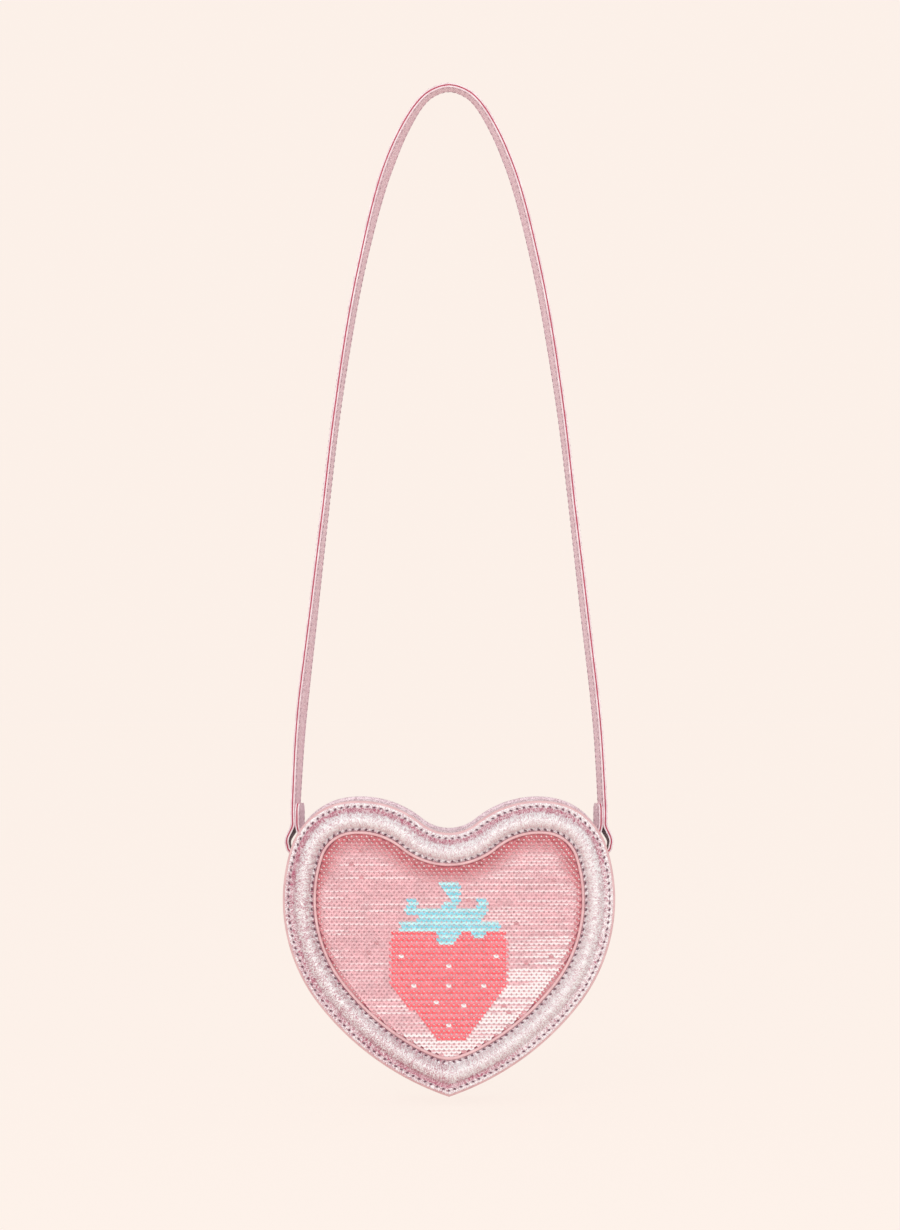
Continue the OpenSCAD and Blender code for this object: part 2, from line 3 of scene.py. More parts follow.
import bpy
import numpy as np
from mathutils import Matrix, Vector, noise


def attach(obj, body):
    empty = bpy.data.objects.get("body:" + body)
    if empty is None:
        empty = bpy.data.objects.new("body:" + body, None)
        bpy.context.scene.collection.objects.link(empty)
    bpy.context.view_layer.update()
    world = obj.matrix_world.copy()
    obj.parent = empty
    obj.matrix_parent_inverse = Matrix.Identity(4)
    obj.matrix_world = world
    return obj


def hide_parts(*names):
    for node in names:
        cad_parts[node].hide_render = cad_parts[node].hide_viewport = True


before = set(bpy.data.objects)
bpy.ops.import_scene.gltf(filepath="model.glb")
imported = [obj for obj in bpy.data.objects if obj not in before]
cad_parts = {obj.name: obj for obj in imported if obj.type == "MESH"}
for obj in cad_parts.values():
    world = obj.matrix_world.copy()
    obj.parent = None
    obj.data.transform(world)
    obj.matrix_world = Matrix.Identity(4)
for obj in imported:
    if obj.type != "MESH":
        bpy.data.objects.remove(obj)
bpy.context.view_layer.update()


# ---- Camera, studio light and floor ----------------------------------------
# A plain cream floor under the hanging purse, two large soft lamps in front of
# it and a pale room round it, which looks cream too.
ROOM_CREAM = (0.974, 0.873, 0.809, 1)
PAPER, PAPER_GLOW = (0.984, 0.887, 0.823, 1), (0.984, 0.882, 0.817, 1)
FLOOR_Z = -0.512

def lamp(name, place, aim, size, power, tint):
    bpy.ops.object.light_add(type="AREA", location=place)
    light = bpy.context.object
    light.name = name
    light.data.shape = "DISK"
    light.data.size = size
    light.data.energy = power
    light.data.color = tint
    light.rotation_euler = (Vector(aim) - Vector(place)).to_track_quat("-Z", "Y").to_euler()
    light.visible_camera = False

bpy.ops.object.camera_add(location=(0.0005, -2, -0.2661), rotation=(radians(90), 0, 0))
camera = bpy.context.object
camera.name = "photo_camera"
camera.data.lens = 115.6
camera.data.sensor_width = 36
camera.data.clip_end = 20
bpy.context.scene.camera = camera
bpy.context.scene.view_settings.view_transform = "Standard"

lamp("key_lamp", (-0.75, -2.6, 0.65), (0, 0, -0.35), 2.1, 25, (1, 0.99, 0.985))
lamp("fill_lamp", (1.25, -2.3, -0.05), (0, 0, -0.38), 1.7, 11, (0.99, 0.99, 1))

def feed(slot, value):
    """Sets an input to a number or a colour, or links an output to it."""
    if isinstance(value, bpy.types.NodeSocket):
        slot.id_data.links.new(value, slot)
    else:
        slot.default_value = value

def wire(node, **values):
    """Feeds a node's inputs by their names. It gives the node's outputs."""
    for title, value in values.items():
        feed(node.inputs[title.replace("_", " ")], value)
    return node.outputs

def node_by(socket, kind, **values):
    """A new node beside the one of this socket, with its inputs fed."""
    return wire(socket.id_data.nodes.new(kind), **values)

def math_node(operation, *values, clamp=False):
    """A Math node on sockets and numbers. It gives its output."""
    tree = [v for v in values if isinstance(v, bpy.types.NodeSocket)][0].id_data
    node = tree.nodes.new("ShaderNodeMath")
    node.operation = operation
    node.use_clamp = clamp
    for slot, value in zip(node.inputs, values):
        feed(slot, value)
    return node.outputs["Value"]

def times(a, b):
    return math_node("MULTIPLY", a, b)

def plus(a, b):
    return math_node("ADD", a, b)

def noise_node(place, scale, detail=3, rough=0.55, distortion=0):
    return node_by(place, "ShaderNodeTexNoise", Vector=place, Scale=scale, Detail=detail,
        Roughness=rough, Distortion=distortion)["Fac"]

def bumped(shader, height, strength, distance):
    bump = node_by(height, "ShaderNodeBump", Height=height, Strength=strength, Distance=distance)
    wire(shader, Normal=bump["Normal"])

def is_looked_at(tree):
    """1 on rays of the camera and of reflections, 0 on those that carry light."""
    rays = tree.nodes.new("ShaderNodeLightPath").outputs
    return math_node("MAXIMUM", rays["Is Camera Ray"], rays["Is Glossy Ray"])

def mix_shaders(share, first, second, end):
    """Ends a material or a world in two shaders, with this share of the second."""
    mix = end.id_data.nodes.new("ShaderNodeMixShader")
    for slot, value in zip(mix.inputs, (share, first.outputs[0], second.outputs[0])):
        feed(slot, value)
    wire(end, Surface=mix.outputs["Shader"])

room = bpy.data.worlds.new("pale_room")
bpy.context.scene.world = room
room.use_nodes = True
nodes = room.node_tree.nodes
seen = nodes.new("ShaderNodeBackground")
wire(nodes["Background"], Color=(1, 1, 1, 1), Strength=0.62)
wire(seen, Color=ROOM_CREAM)
mix_shaders(is_looked_at(room.node_tree), nodes["Background"], seen, nodes["World Output"])

def deselect():
    if bpy.context.object and bpy.context.object.mode != "OBJECT":
        bpy.ops.object.mode_set(mode="OBJECT")
    bpy.ops.object.select_all(action="DESELECT")

deselect()
bpy.ops.mesh.primitive_plane_add(size=14, location=(0, 0, FLOOR_Z))
paper = bpy.context.object
paper.name = "paper_floor"
bpy.ops.object.transform_apply(location=True, rotation=True, scale=True)

def new_material(name, **looks):
    """A material, its Principled shader with these values, and its coordinates."""
    material = bpy.data.materials.new(name)
    material.use_nodes = True
    nodes = material.node_tree.nodes
    wire(nodes["Principled BSDF"], **looks)
    return material, nodes["Principled BSDF"], nodes.new("ShaderNodeTexCoord").outputs

def dress(piece, material):
    piece.data.materials.clear()
    piece.data.materials.append(material)

cream_paper, paint, coord = new_material("cream_paper", Base_Color=PAPER, Roughness=0.9,
    Specular_IOR_Level=0.1)
bumped(paint, noise_node(coord["Object"], 260, 2, 0.5), 0.02, 1)
nodes = cream_paper.node_tree.nodes
glow = nodes.new("ShaderNodeEmission")
wire(glow, Color=PAPER_GLOW, Strength=1.028)
mix_shaders(times(is_looked_at(cream_paper.node_tree), 0.9), paint, glow, nodes["Material Output"])
dress(paper, cream_paper)


# ---- Outer welts -----------------------------------------------------------
# Piping of pale smooth leather folded over a cord, sewn in round the outline of
# the front panel. The back panel has the same welt in the foil leather.
TIP = -0.507274
HALF_W, HEIGHT, CLEFT = 0.0832, 0.1483, 0.0161
WELT_R, WELT_Y = 0.0014, 0.0229

def heart_arcs():
    """The right half from the cleft to the tip, as arcs that run into each other:
    middle, radius (negative where hollow), first and last direction in degrees."""
    side_turn, mouth_turn = 38.1, 40
    side_r, top_r, shoulder_r = HALF_W * 1.0276, HALF_W * 0.597, HALF_W * 0.399
    lobe = HALF_W * 0.542
    side = Vector((HALF_W - side_r, TIP + HEIGHT * 0.6655))
    top = Vector((lobe, TIP + HEIGHT - top_r))
    cleft_r = lobe ** 2 / (2 * CLEFT) - top_r + CLEFT / 2
    cleft = Vector((0, TIP + HEIGHT - CLEFT + cleft_r))
    span = top - side
    a, b = top_r - shoulder_r, side_r - shoulder_r
    along_span = (b * b - a * a + span.length_squared) / (2 * span.length)
    across_span = sqrt(b * b - along_span ** 2)
    shoulder = side + (along_span * span + across_span * Vector((-span.y, span.x))) / span.length
    down = Vector((cos(radians(side_turn)), -sin(radians(side_turn))))
    side_end = side + side_r * down
    from_tip = side_end - Vector((0, TIP))
    lower_r = from_tip.length_squared / (2 * from_tip.dot(down))
    lower = side_end - lower_r * down
    way = lambda v: degrees(atan2(v.y, v.x))
    stops = [90, way(cleft - top), way(shoulder - top), mouth_turn, way(shoulder - side),
        -side_turn, -degrees(acos(-lower.x / lower_r)) - 0.4]
    rounds = [(cleft, -cleft_r), (top, top_r), (shoulder, shoulder_r), (shoulder, shoulder_r),
        (side, side_r), (lower, lower_r)]
    return [(c.x, c.y, r, a0, a1) for (c, r), a0, a1 in zip(rounds, stops, stops[1:])]

ARCS = heart_arcs()

def edit(select_by="VERT", action="SELECT"):
    bpy.ops.object.mode_set(mode="EDIT")
    bpy.ops.mesh.select_mode(type=select_by)
    bpy.ops.mesh.select_all(action=action)

def close_up(fill=True):
    """Fills what holes are left, turns all faces outwards and leaves edit mode."""
    bpy.ops.mesh.select_all(action="SELECT")
    if fill:
        bpy.ops.mesh.fill_holes(sides=0)
        bpy.ops.mesh.select_all(action="SELECT")
    bpy.ops.mesh.normals_make_consistent(inside=False)
    bpy.ops.object.mode_set(mode="OBJECT")

def spun(name, section, arcs=ARCS, step=0.0012, mirrored=True, wall=False, crease=50):
    """A ring of (inset, depth) points, spun along the arcs and mirrored. A wall has
    no face from its last point back to its first, and its two rims are filled flat."""
    deselect()
    bpy.ops.mesh.primitive_circle_add(vertices=len(section))
    piece = bpy.context.object
    piece.name = piece.data.name = name
    cx, cz, r, a0, _ = arcs[0]
    for vertex, (d, y) in zip(piece.data.vertices, section):
        vertex.co = (cx + (r - d) * cos(radians(a0)), y, cz + (r - d) * sin(radians(a0)))
    if wall:
        edit("EDGE", "DESELECT")
        bpy.ops.object.mode_set(mode="OBJECT")
        for edge in piece.data.edges:
            edge.select = set(edge.vertices) == {0, len(section) - 1}
        bpy.ops.object.mode_set(mode="EDIT")
        bpy.ops.mesh.delete(type="EDGE")
    edit()
    for cx, cz, r, a0, a1 in arcs:
        turn = radians(a1 - a0)
        bpy.ops.mesh.spin(steps=max(2, ceil(abs(r * turn) / step)), angle=turn,
            center=(cx, 0, cz), axis=(0, 1, 0))
    if mirrored:
        bpy.ops.mesh.select_all(action="SELECT")
        bpy.ops.mesh.bisect(plane_co=(0, 0, 0), plane_no=(-1, 0, 0), clear_outer=True,
            threshold=1e-7)
        bpy.ops.object.mode_set(mode="OBJECT")
        half = piece.modifiers.new("other_half", "MIRROR")
        half.merge_threshold = 1e-5
        bpy.ops.object.modifier_apply(modifier=half.name)
        bpy.ops.object.mode_set(mode="EDIT")
    close_up()
    bpy.ops.object.shade_smooth_by_angle(angle=radians(crease))
    return piece

def points_of(piece):
    co = np.empty(len(piece.data.vertices) * 3)
    piece.data.vertices.foreach_get("co", co)
    return co.reshape(-1, 3)

def put_points(piece, co):
    piece.data.vertices.foreach_set("co", co.ravel())
    piece.data.update()

def along(co, at=0.0, arcs=ARCS):
    """Way round from the cleft at the inset `at`, and own inset, of each point."""
    x, z = abs(co[:, 0]), co[:, 2]
    best = np.full(len(x), 1e9)
    way, inset, gone = np.zeros(len(x)), np.zeros(len(x)), 0.0
    for cx, cz, r, a0, a1 in arcs:
        flip = 1 if r > 0 else -1
        angle = np.degrees(np.arctan2(flip * (z - cz), flip * (x - cx)))
        far = np.hypot(x - cx, z - cz)
        off = np.maximum(0, np.maximum(angle - max(a0, a1), min(a0, a1) - angle)) * far
        d = flip * (abs(r) - far)
        off = off + np.where((d < -0.006) | (d > 0.06), 1e3, 0)
        pick = off < best - 1e-9
        best = np.where(pick, off, best)
        way = np.where(pick, gone + (abs(r) - flip * at) * np.radians(abs(angle - a0)), way)
        inset = np.where(pick, d, inset)
        gone += (abs(r) - flip * at) * radians(abs(a1 - a0))
    return way, inset, gone

def uv_of(piece):
    layers = piece.data.uv_layers
    return layers[0] if layers else layers.new(name="along")

def lay_uv(piece, at, across, arcs=ARCS):
    """UV map in decimetres: round the heart from the cleft, and across the piece."""
    co = points_of(piece)
    way, inset, _ = along(co, at, arcs)
    over = across(co, inset)
    uv = uv_of(piece)
    for face in piece.data.polygons:
        side = 1 if face.center.x >= 0 else -1
        for i in face.loop_indices:
            v = piece.data.loops[i].vertex_index
            uv.data[i].uv = (side * way[v] * 10, over[v] * 10)

def tube_section(inset, depth, radius, sides):
    return [(inset + radius * cos(2 * pi * i / sides), depth + radius * sin(2 * pi * i / sides))
        for i in range(sides)]

def group_node(name, inputs, outputs):
    """An empty shader node group with named sockets."""
    group = bpy.data.node_groups.new(name, "ShaderNodeTree")
    for title, kind, value in inputs:
        socket = group.interface.new_socket(title, in_out="INPUT", socket_type=kind)
        if value is not None:
            socket.default_value = value
    for title, kind in outputs:
        group.interface.new_socket(title, in_out="OUTPUT", socket_type=kind)
    into, out = group.nodes.new("NodeGroupInput"), group.nodes.new("NodeGroupOutput")
    return group, into.outputs, out.inputs

def use_group(group, **values):
    node = values["Place"].id_data.nodes.new("ShaderNodeGroup")
    node.node_tree = group
    return wire(node, **values)

def spread(value, low, high, to_low=0, to_high=1):
    """Eases a value over from one range to another."""
    node = value.id_data.nodes.new("ShaderNodeMapRange")
    node.interpolation_type = "SMOOTHSTEP"
    wire(node, Value=value, From_Min=low, From_Max=high, To_Min=to_low, To_Max=to_high)
    return node.outputs["Result"]

def blend_colour(share, first, second):
    node = share.id_data.nodes.new("ShaderNodeMix")
    node.data_type = "RGBA"
    # A Mix node has sockets of the same names for each type of data.
    for slot, value in zip([s for s in node.inputs if s.enabled], (share, first, second)):
        feed(slot, value)
    return [s for s in node.outputs if s.enabled][0]

def two_tones(paint, share, dark, light):
    wire(paint, Base_Color=blend_colour(share, dark, light))

# Fine pores and soft unevenness of a smooth leather, for any pale leather part
pores, into, out = group_node("leather_pores",
    [("Place", "NodeSocketVector", None), ("Scale", "NodeSocketFloat", 1500.0)],
    [("Tone", "NodeSocketFloat"), ("Height", "NodeSocketFloat")])
fine = noise_node(into["Place"], into["Scale"], 3, 0.6)
broad = noise_node(into["Place"], times(into["Scale"], 0.11), 2)
for title, share in (("Tone", 0.35), ("Height", 0.6)):
    feed(out[title], math_node("MULTIPLY_ADD", fine, share, times(broad, 1 - share)))

pale_leather, paint, coord = new_material("pale_piping_leather", Roughness=0.42, Coat_Weight=0.15)
grain = use_group(pores, Place=coord["Object"], Scale=1400)
two_tones(paint, spread(grain["Tone"], 0.3, 0.7), (0.76, 0.45, 0.47, 1), (0.9, 0.6, 0.61, 1))
bumped(paint, grain["Height"], 0.35, 0.0002)

front_welt = spun("front_piping", tube_section(WELT_R, -WELT_Y, WELT_R, 14), step=0.0015)
lay_uv(front_welt, 0, lambda co, inset: np.arctan2(co[:, 1] + WELT_Y, inset - WELT_R) * WELT_R)
dress(front_welt, pale_leather)
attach(front_welt, "purse")
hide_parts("front_welt")


# ---- Padded frame of the front panel ---------------------------------------
# One ring of crinkled foil leather drawn over foam. It is sewn flat on both
# sides of the pad with a pale thread, so the needle holes pull it in.
PANEL_Y = 0.024
OUTER_LINE, INNER_LINE = 0.0029, 0.0144
PUFF_IN, PUFF_OUT, PUFF_H = 0.0053, 0.0137, 0.0052
PULL_DEPTH, HOLE_LONG, HOLE_WIDE = 0.00036, 0.0009, 0.00052

def way_round(at):
    """Length of half the heart's outline at an inset."""
    return along(np.zeros((1, 3)), at)[2]

def even_pitch(at, pitch):
    """The pitch nearest to this one that fills the line with whole stitches."""
    return way_round(at) / round(way_round(at) / pitch)

OUTER_PITCH, INNER_PITCH = even_pitch(OUTER_LINE, 0.0033), even_pitch(INNER_LINE, 0.00335)

def puff(t):
    """Height of the padding, fullest a little inside its middle."""
    return (1 - abs(2 * t ** 1.08 - 1) ** 1.9) ** 0.76 if 0 < t < 1 else 0

def rounded_tip(co, inset):
    """Rounds the heart's lower point off, the more the further in it lies."""
    soft = 0.0052 * np.clip(inset / 0.016, 0, 1.2)
    x = abs(co[:, 0])
    co[:, 2] += np.where(co[:, 2] < TIP + 0.06, 0.466 * (np.hypot(x, soft) - x), 0)
    return co

def mark_points(piece, name, values):
    """Numbers or colours as an attribute of a piece's points, one for each of its copies."""
    is_colour = np.ndim(values) > 1
    mark = piece.data.attributes.new(name, "FLOAT_COLOR" if is_colour else "FLOAT", "POINT")
    each = np.repeat(values, len(piece.data.vertices) // len(values), axis=0)
    mark.data.foreach_set("color" if is_colour else "value", each.ravel().astype(np.float32))

# The leather's outer edge lies on the welt, so only the welt's rim shows.
face = [(0.00122, -0.0244), (0.00112, -0.02455), (0.00118, -0.02472), (0.0014, -0.02484),
    (0.0017, -0.02488), (0.002, -0.02486), (0.0023, -0.0248), (0.0026, -0.02472),
    (0.0029, -0.02466), (0.0032, -0.02462), (0.0035, -0.02456), (0.0038, -0.02446),
    (0.0042, -0.02428), (0.0046, -0.02412), (0.005, -0.02402)]
face += [(PUFF_IN + t * (PUFF_OUT - PUFF_IN), -PANEL_Y - PUFF_H * puff(t))
    for t in [(1 - cos(pi * i / 34)) / 2 for i in range(35)]]
face += [(0.0139, -0.024), (0.0141, -0.02402), (0.01425, -0.024), (0.0144, -0.024),
    (0.01455, -0.024), (0.0147, -0.02405), (0.0149, -0.02405), (0.0151, -0.0238)]
back = [(PUFF_OUT - t * (PUFF_OUT - PUFF_IN), -PANEL_Y + 0.001 - PUFF_H * puff(t))
    for t in (0, 0.1, 0.25, 0.4, 0.6, 0.75, 0.9, 1)]
under = [(0.0029, -0.0230), (0.0029, -0.0236), (0.0026, -0.02392), (0.0022, -0.02416),
    (0.0018, -0.02434), (0.0014, -0.0244)]
frame_pad = spun("padded_frame", face + [(0.0151, -0.0230)] + back + under, step=0.0005)

# The pad dips at each needle hole, swells between the holes and has small folds.
co = points_of(frame_pad)
way_out, inset, _ = along(co, OUTER_LINE)
way_in, _, _ = along(co, INNER_LINE)
normals = np.array([v.normal for v in frame_pad.data.vertices])
front_side = (normals[:, 1] < -0.1) & (co[:, 1] < -0.0234)
holes, push = np.zeros(len(co)), np.zeros(len(co))
for way, line, pitch, reach in (
        (way_out, OUTER_LINE, OUTER_PITCH, np.where(inset > OUTER_LINE, 0.0026, 0.0012)),
        (way_in, INNER_LINE, INNER_PITCH, np.where(inset < INNER_LINE, 0.0024, 0.0008))):
    phase = (way / pitch) % 1 - 0.5
    a, b = phase * pitch, inset - line
    near = np.exp(-((0.83 * a + 0.56 * b) / HOLE_LONG) ** 2
        - ((0.83 * b - 0.56 * a) / HOLE_WIDE) ** 2)
    holes = np.maximum(holes, near)
    push += 0.00022 * -np.cos(2 * pi * phase) * np.exp(-abs(inset - line) / reach)
crown = np.clip((-0.0243 - co[:, 1]) / 0.003, 0, 1)
for i, p in enumerate(co):
    if front_side[i]:
        place = Vector(p)
        fold = noise.noise(Vector((way_out[i] * np.sign(p[0]) * 620, inset[i] * 190, 3)))
        small = noise.noise(place * 900)
        push[i] += crown[i] * (0.00016 * fold + 0.0001 * small + 0.00018 * noise.noise(place * 130))
depth = np.where(front_side, push - PULL_DEPTH * holes, 0)
put_points(frame_pad, rounded_tip(co + normals * depth[:, None], inset))
mark_points(frame_pad, "needle_hole", holes * front_side)
# The map across the frame keeps each point's inset from before it was shaped.
lay_uv(frame_pad, 0.0095, lambda co, _: inset)

# Crumpled foil on leather: creases, a finer grain and specks that catch the light. Its colour
# darkens in the creases and specks: partly the foil's own crackle, partly painted shade in the
# creases.
foil, into, out = group_node("crumpled_foil",
    [("Place", "NodeSocketVector", None), ("Scale", "NodeSocketFloat", 800.0),
     ("Light", "NodeSocketColor", (1, 1, 1, 1)), ("Dark", "NodeSocketColor", (0.5, 0.5, 0.5, 1)),
     ("Cover", "NodeSocketFloat", 0.5)],
    [("Color", "NodeSocketColor"), ("Roughness", "NodeSocketFloat"), ("Height", "NodeSocketFloat")])
creases = noise_node(into["Place"], into["Scale"], 2.8, 0.62, 1.1)
ridge = math_node("ABSOLUTE", math_node("MULTIPLY_ADD", creases, 2, -1))
grain = noise_node(into["Place"], times(into["Scale"], 1.9), 3, 0.75)
crackle_and_shade = plus(spread(ridge, 0.01, 0.12, 1, 0), times(spread(grain, 0.54, 0.66), 0.5))
patches = noise_node(into["Place"], times(into["Scale"], 0.25), 2)
cover = math_node("MULTIPLY_ADD", patches, 0.28, plus(into["Cover"], -0.14))
base = times(math_node("MAXIMUM", math_node("SUBTRACT", cover, 0.75), 0), 0.95)
darkened_share = math_node("MULTIPLY_ADD", crackle_and_shade, cover, base, clamp=True)
feed(out["Color"], blend_colour(darkened_share, into["Light"], into["Dark"]))
feed(out["Roughness"], spread(grain, 0.3, 0.7, 0.28, 0.5))
feed(out["Height"], math_node("SUBTRACT", 1, crackle_and_shade))

def frame_cover_with_shade(place, cover):
    """Painted shade on the frame's foil: it is darker in its outer valley, on the outer slope of
    its pad and on its left. It is also darker in a thin line at its inner seam.
    """
    axes = node_by(place, "ShaderNodeSeparateXYZ", Vector=place)
    v, around = axes["Y"], math_node("ABSOLUTE", axes["X"])
    # The valley's painted shade is deepest over the lobes, in the cleft and at the tip.
    flank = times(spread(around, 0.75, 1.1, 0, 0.72), spread(around, 1.8, 2.2, 1, 0))
    valley_shade = times(spread(v, 0.03, 0.039), spread(v, 0.045, 0.068, 0.55, 0))
    valley_shade = times(valley_shade, math_node("SUBTRACT", 1, flank))
    slope_shade = plus(spread(v, 0.07, 0.115, 0.08, 0), spread(axes["X"], -1, -0.5, 0.2, 0))
    seam = times(spread(v, 0.143, 0.149), 0.35)
    return plus(valley_shade, plus(slope_shade, plus(seam, cover)))

def attribute(beside, name):
    node = beside.id_data.nodes.new("ShaderNodeAttribute")
    node.attribute_name = name
    return node.outputs

def foil_leather(name, scale, light, dark, cover, metal=0.1, strength=0.45, stretch=None,
        holed_and_shaded=False, shaded_below=None):
    """Foil leather in one shade. stretch lays its creases along the piece's UV map. The frame's
    foil also gets its needle holes and painted shade, and the strap's inside gets painted shade
    below a given height."""
    material, paint, coord = new_material(name, Metallic=metal)
    place = coord["Object"]
    if stretch:
        place = node_by(place, "ShaderNodeMapping", Vector=coord["UV"], Scale=stretch)["Vector"]
    if holed_and_shaded:
        cover = frame_cover_with_shade(coord["UV"], cover)
    skin = use_group(foil, Place=place, Scale=scale, Light=light, Dark=dark, Cover=cover)
    colour = skin["Color"]
    if holed_and_shaded:
        # Painted shade in each needle hole, where the mesh also dips.
        hole = spread(attribute(place, "needle_hole")["Fac"], 0.15, 0.75)
        colour = blend_colour(hole, colour, (0.2, 0.075, 0.12, 1))
    if shaded_below:
        # Painted shade: the foil is painted dark inside the strap's loop, round its ring, below the
        # given height.
        height = node_by(place, "ShaderNodeSeparateXYZ", Vector=coord["Object"])["Z"]
        loop_shade = spread(height, shaded_below - 0.003, shaded_below, 0.92, 0)
        colour = blend_colour(loop_shade, colour, (0.06, 0.02, 0.022, 1))
    wire(paint, Base_Color=colour, Roughness=skin["Roughness"])
    bumped(paint, skin["Height"], strength, 0.0002)
    return material

frame_leather = foil_leather("frame_foil_leather", 63, (1, 0.985, 0.99, 1), (0.5, 0.13, 0.21, 1),
    0.57, metal=0.06, strength=0.4, stretch=(1.35, 0.75, 1), holed_and_shaded=True)
dress(frame_pad, frame_leather)
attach(frame_pad, "purse")
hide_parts("front_frame")

foam_line = [(PUFF_OUT - 0.0006 - t * (PUFF_OUT - PUFF_IN - 0.0012),
    -PANEL_Y + 0.001 - (PUFF_H - 0.0001) * puff(t))
    for t in (0.06, 0.12, 0.2, 0.3, 0.4, 0.5, 0.6, 0.7, 0.8, 0.88, 0.94)]
foam_ring = spun("foam_ring", [(0.0129, -0.0230)] + foam_line + [(0.0061, -0.0230)], step=0.002)
put_points(foam_ring, rounded_tip(points_of(foam_ring), along(points_of(foam_ring))[1]))
white_foam, paint, coord = new_material("white_foam", Roughness=0.95)
cells = node_by(coord["Object"], "ShaderNodeTexVoronoi", Vector=coord["Object"],
    Scale=1600)["Distance"]
two_tones(paint, spread(cells, 0.1, 0.5), (0.62, 0.58, 0.5, 1), (0.9, 0.87, 0.8, 1))
bumped(paint, cells, 0.8, 0.0003)
dress(foam_ring, white_foam)
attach(foam_ring, "purse")
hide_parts("frame_foam")


# ---- Stitches of the frame -------------------------------------------------
# Pale thread in two rows. Each stitch is a short bow that dips into the leather
# at the needle holes on both of its ends. It is flat: a fin that stands on edge.
def take_shape(piece, mirror=(1, 1, 1)):
    """Points and faces of a small shape that is copied later. Its own piece goes."""
    step = int(np.prod(mirror))
    shape = points_of(piece) * mirror, [list(f.vertices)[::step] for f in piece.data.polygons]
    bpy.data.objects.remove(piece)
    return shape

def stitch_shape(length, thick):
    """One stitch, along X and out along Z: a ring of six points spun through an arc.
    The ring lies in the plane of its spin, so the stitch has no width."""
    deselect()
    sag = length * 0.22
    round_r = (length ** 2 / 4 + sag ** 2) / (2 * sag)
    sweep = atan2(length / 2, round_r - sag)
    bpy.ops.mesh.primitive_circle_add(vertices=6, radius=thick / 2, rotation=(radians(90), 0, 0))
    piece = bpy.context.object
    bpy.ops.object.transform_apply(location=False, rotation=True, scale=False)
    for vertex in piece.data.vertices:
        vertex.co.x += round_r
    edit()
    bpy.ops.transform.rotate(value=sweep - radians(90), orient_axis="Y", orient_type="GLOBAL",
        center_override=(0, 0, 0))
    bpy.ops.object.mode_set(mode="OBJECT")
    side = np.sign(np.mean([v.co.z for v in piece.data.vertices]))
    bpy.ops.object.mode_set(mode="EDIT")
    bpy.ops.mesh.spin(steps=5, angle=side * 2 * sweep, center=(0, 0, 0), axis=(0, 1, 0))
    close_up()
    co, faces = take_shape(piece, (1, 1, side))
    co[:, 2] -= round_r - sag * 0.62
    return co, faces

def many(name, shape, placed):
    """Copies of a shape in one mesh, each with its own turn and place."""
    co, faces = shape
    mesh = bpy.data.meshes.new(name)
    points = np.concatenate([co @ turn + np.array(place) for turn, place in placed])
    mesh.from_pydata(points.tolist(), [],
        [[i + len(co) * n for i in f] for n in range(len(placed)) for f in faces])
    piece = bpy.data.objects.new(name, mesh)
    bpy.context.scene.collection.objects.link(piece)
    return piece

def copies(name, shape, spots):
    """Smooth copies of a shape. A spot is a place, a way along and a way out."""
    placed = []
    for place, ahead, out_way in spots:
        z = Vector(out_way).normalized()
        x = (Vector(ahead) - Vector(ahead).dot(z) * z).normalized()
        placed.append((np.array([x, z.cross(x), z]), place))
    piece = many(name, shape, placed)
    for face in piece.data.polygons:
        face.use_smooth = True
    return piece

def heart_place(way, at, arcs=ARCS):
    """Point and direction on the right half, `way` from the cleft at the inset `at`."""
    for cx, cz, r, a0, a1 in arcs:
        flip = 1 if r > 0 else -1
        length = (abs(r) - flip * at) * radians(abs(a1 - a0))
        if way <= length or (cx, cz, r, a0, a1) == arcs[-1]:
            angle = radians(a0 + (a1 - a0) * way / length)
            return cx + (r - at) * cos(angle), cz + (r - at) * sin(angle), sin(angle), -cos(angle)
        way -= length

def heart_spots(at, pitch, y, out_way, shift=0.5):
    """Spots at an even pitch along both halves of the heart, at an inset and a depth."""
    spots = []
    for i in range(round(way_round(at) / pitch)):
        x, z, ax, az = heart_place((i + shift) * pitch, at)
        if x > 0.0004:
            spots += [((x, y, z), (ax, 0, az), out_way), ((-x, y, z), (-ax, 0, az), out_way)]
    return spots

thread, paint, coord = new_material("pale_thread", Roughness=0.55, Sheen_Weight=0.3)
twist = paint.id_data.nodes.new("ShaderNodeTexWave")
twist.bands_direction = "DIAGONAL"
strands = wire(twist, Vector=coord["Object"], Scale=900, Distortion=1.5)["Fac"]
two_tones(paint, strands, (0.72, 0.5, 0.57, 1), (0.96, 0.82, 0.87, 1))
bumped(paint, strands, 0.4, 0.0001)

long_stitch = stitch_shape(0.0025, 0.0006)
spots = heart_spots(OUTER_LINE, OUTER_PITCH, -0.02468, (0, -1, 0), shift=1)
spots += heart_spots(INNER_LINE, INNER_PITCH, -0.02405, (0, -1, 0), shift=1)
places = np.array([spot[0] for spot in spots])
places = rounded_tip(places, along(places)[1])
spots = [(place, *ways) for place, (_, *ways) in zip(places, spots)]
frame_stitches = copies("frame_stitches", long_stitch, spots)
dress(frame_stitches, thread)
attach(frame_stitches, "purse")


# ---- Window welt -----------------------------------------------------------
# Thin pale piping sewn between the frame and the sequin cloth, all round the
# window.
TRIM_IN, TRIM_Y, TRIM_R = 0.01595, -0.02375, 0.00075
window_welt = spun("window_piping", tube_section(TRIM_IN, TRIM_Y, TRIM_R, 12), step=0.0013)
lay_uv(window_welt, 0.016,
    lambda co, inset: np.arctan2(co[:, 1] - TRIM_Y, inset - TRIM_IN) * TRIM_R)
put_points(window_welt, rounded_tip(points_of(window_welt), along(points_of(window_welt))[1]))
dress(window_welt, pale_leather)
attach(window_welt, "purse")
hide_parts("window_welt")


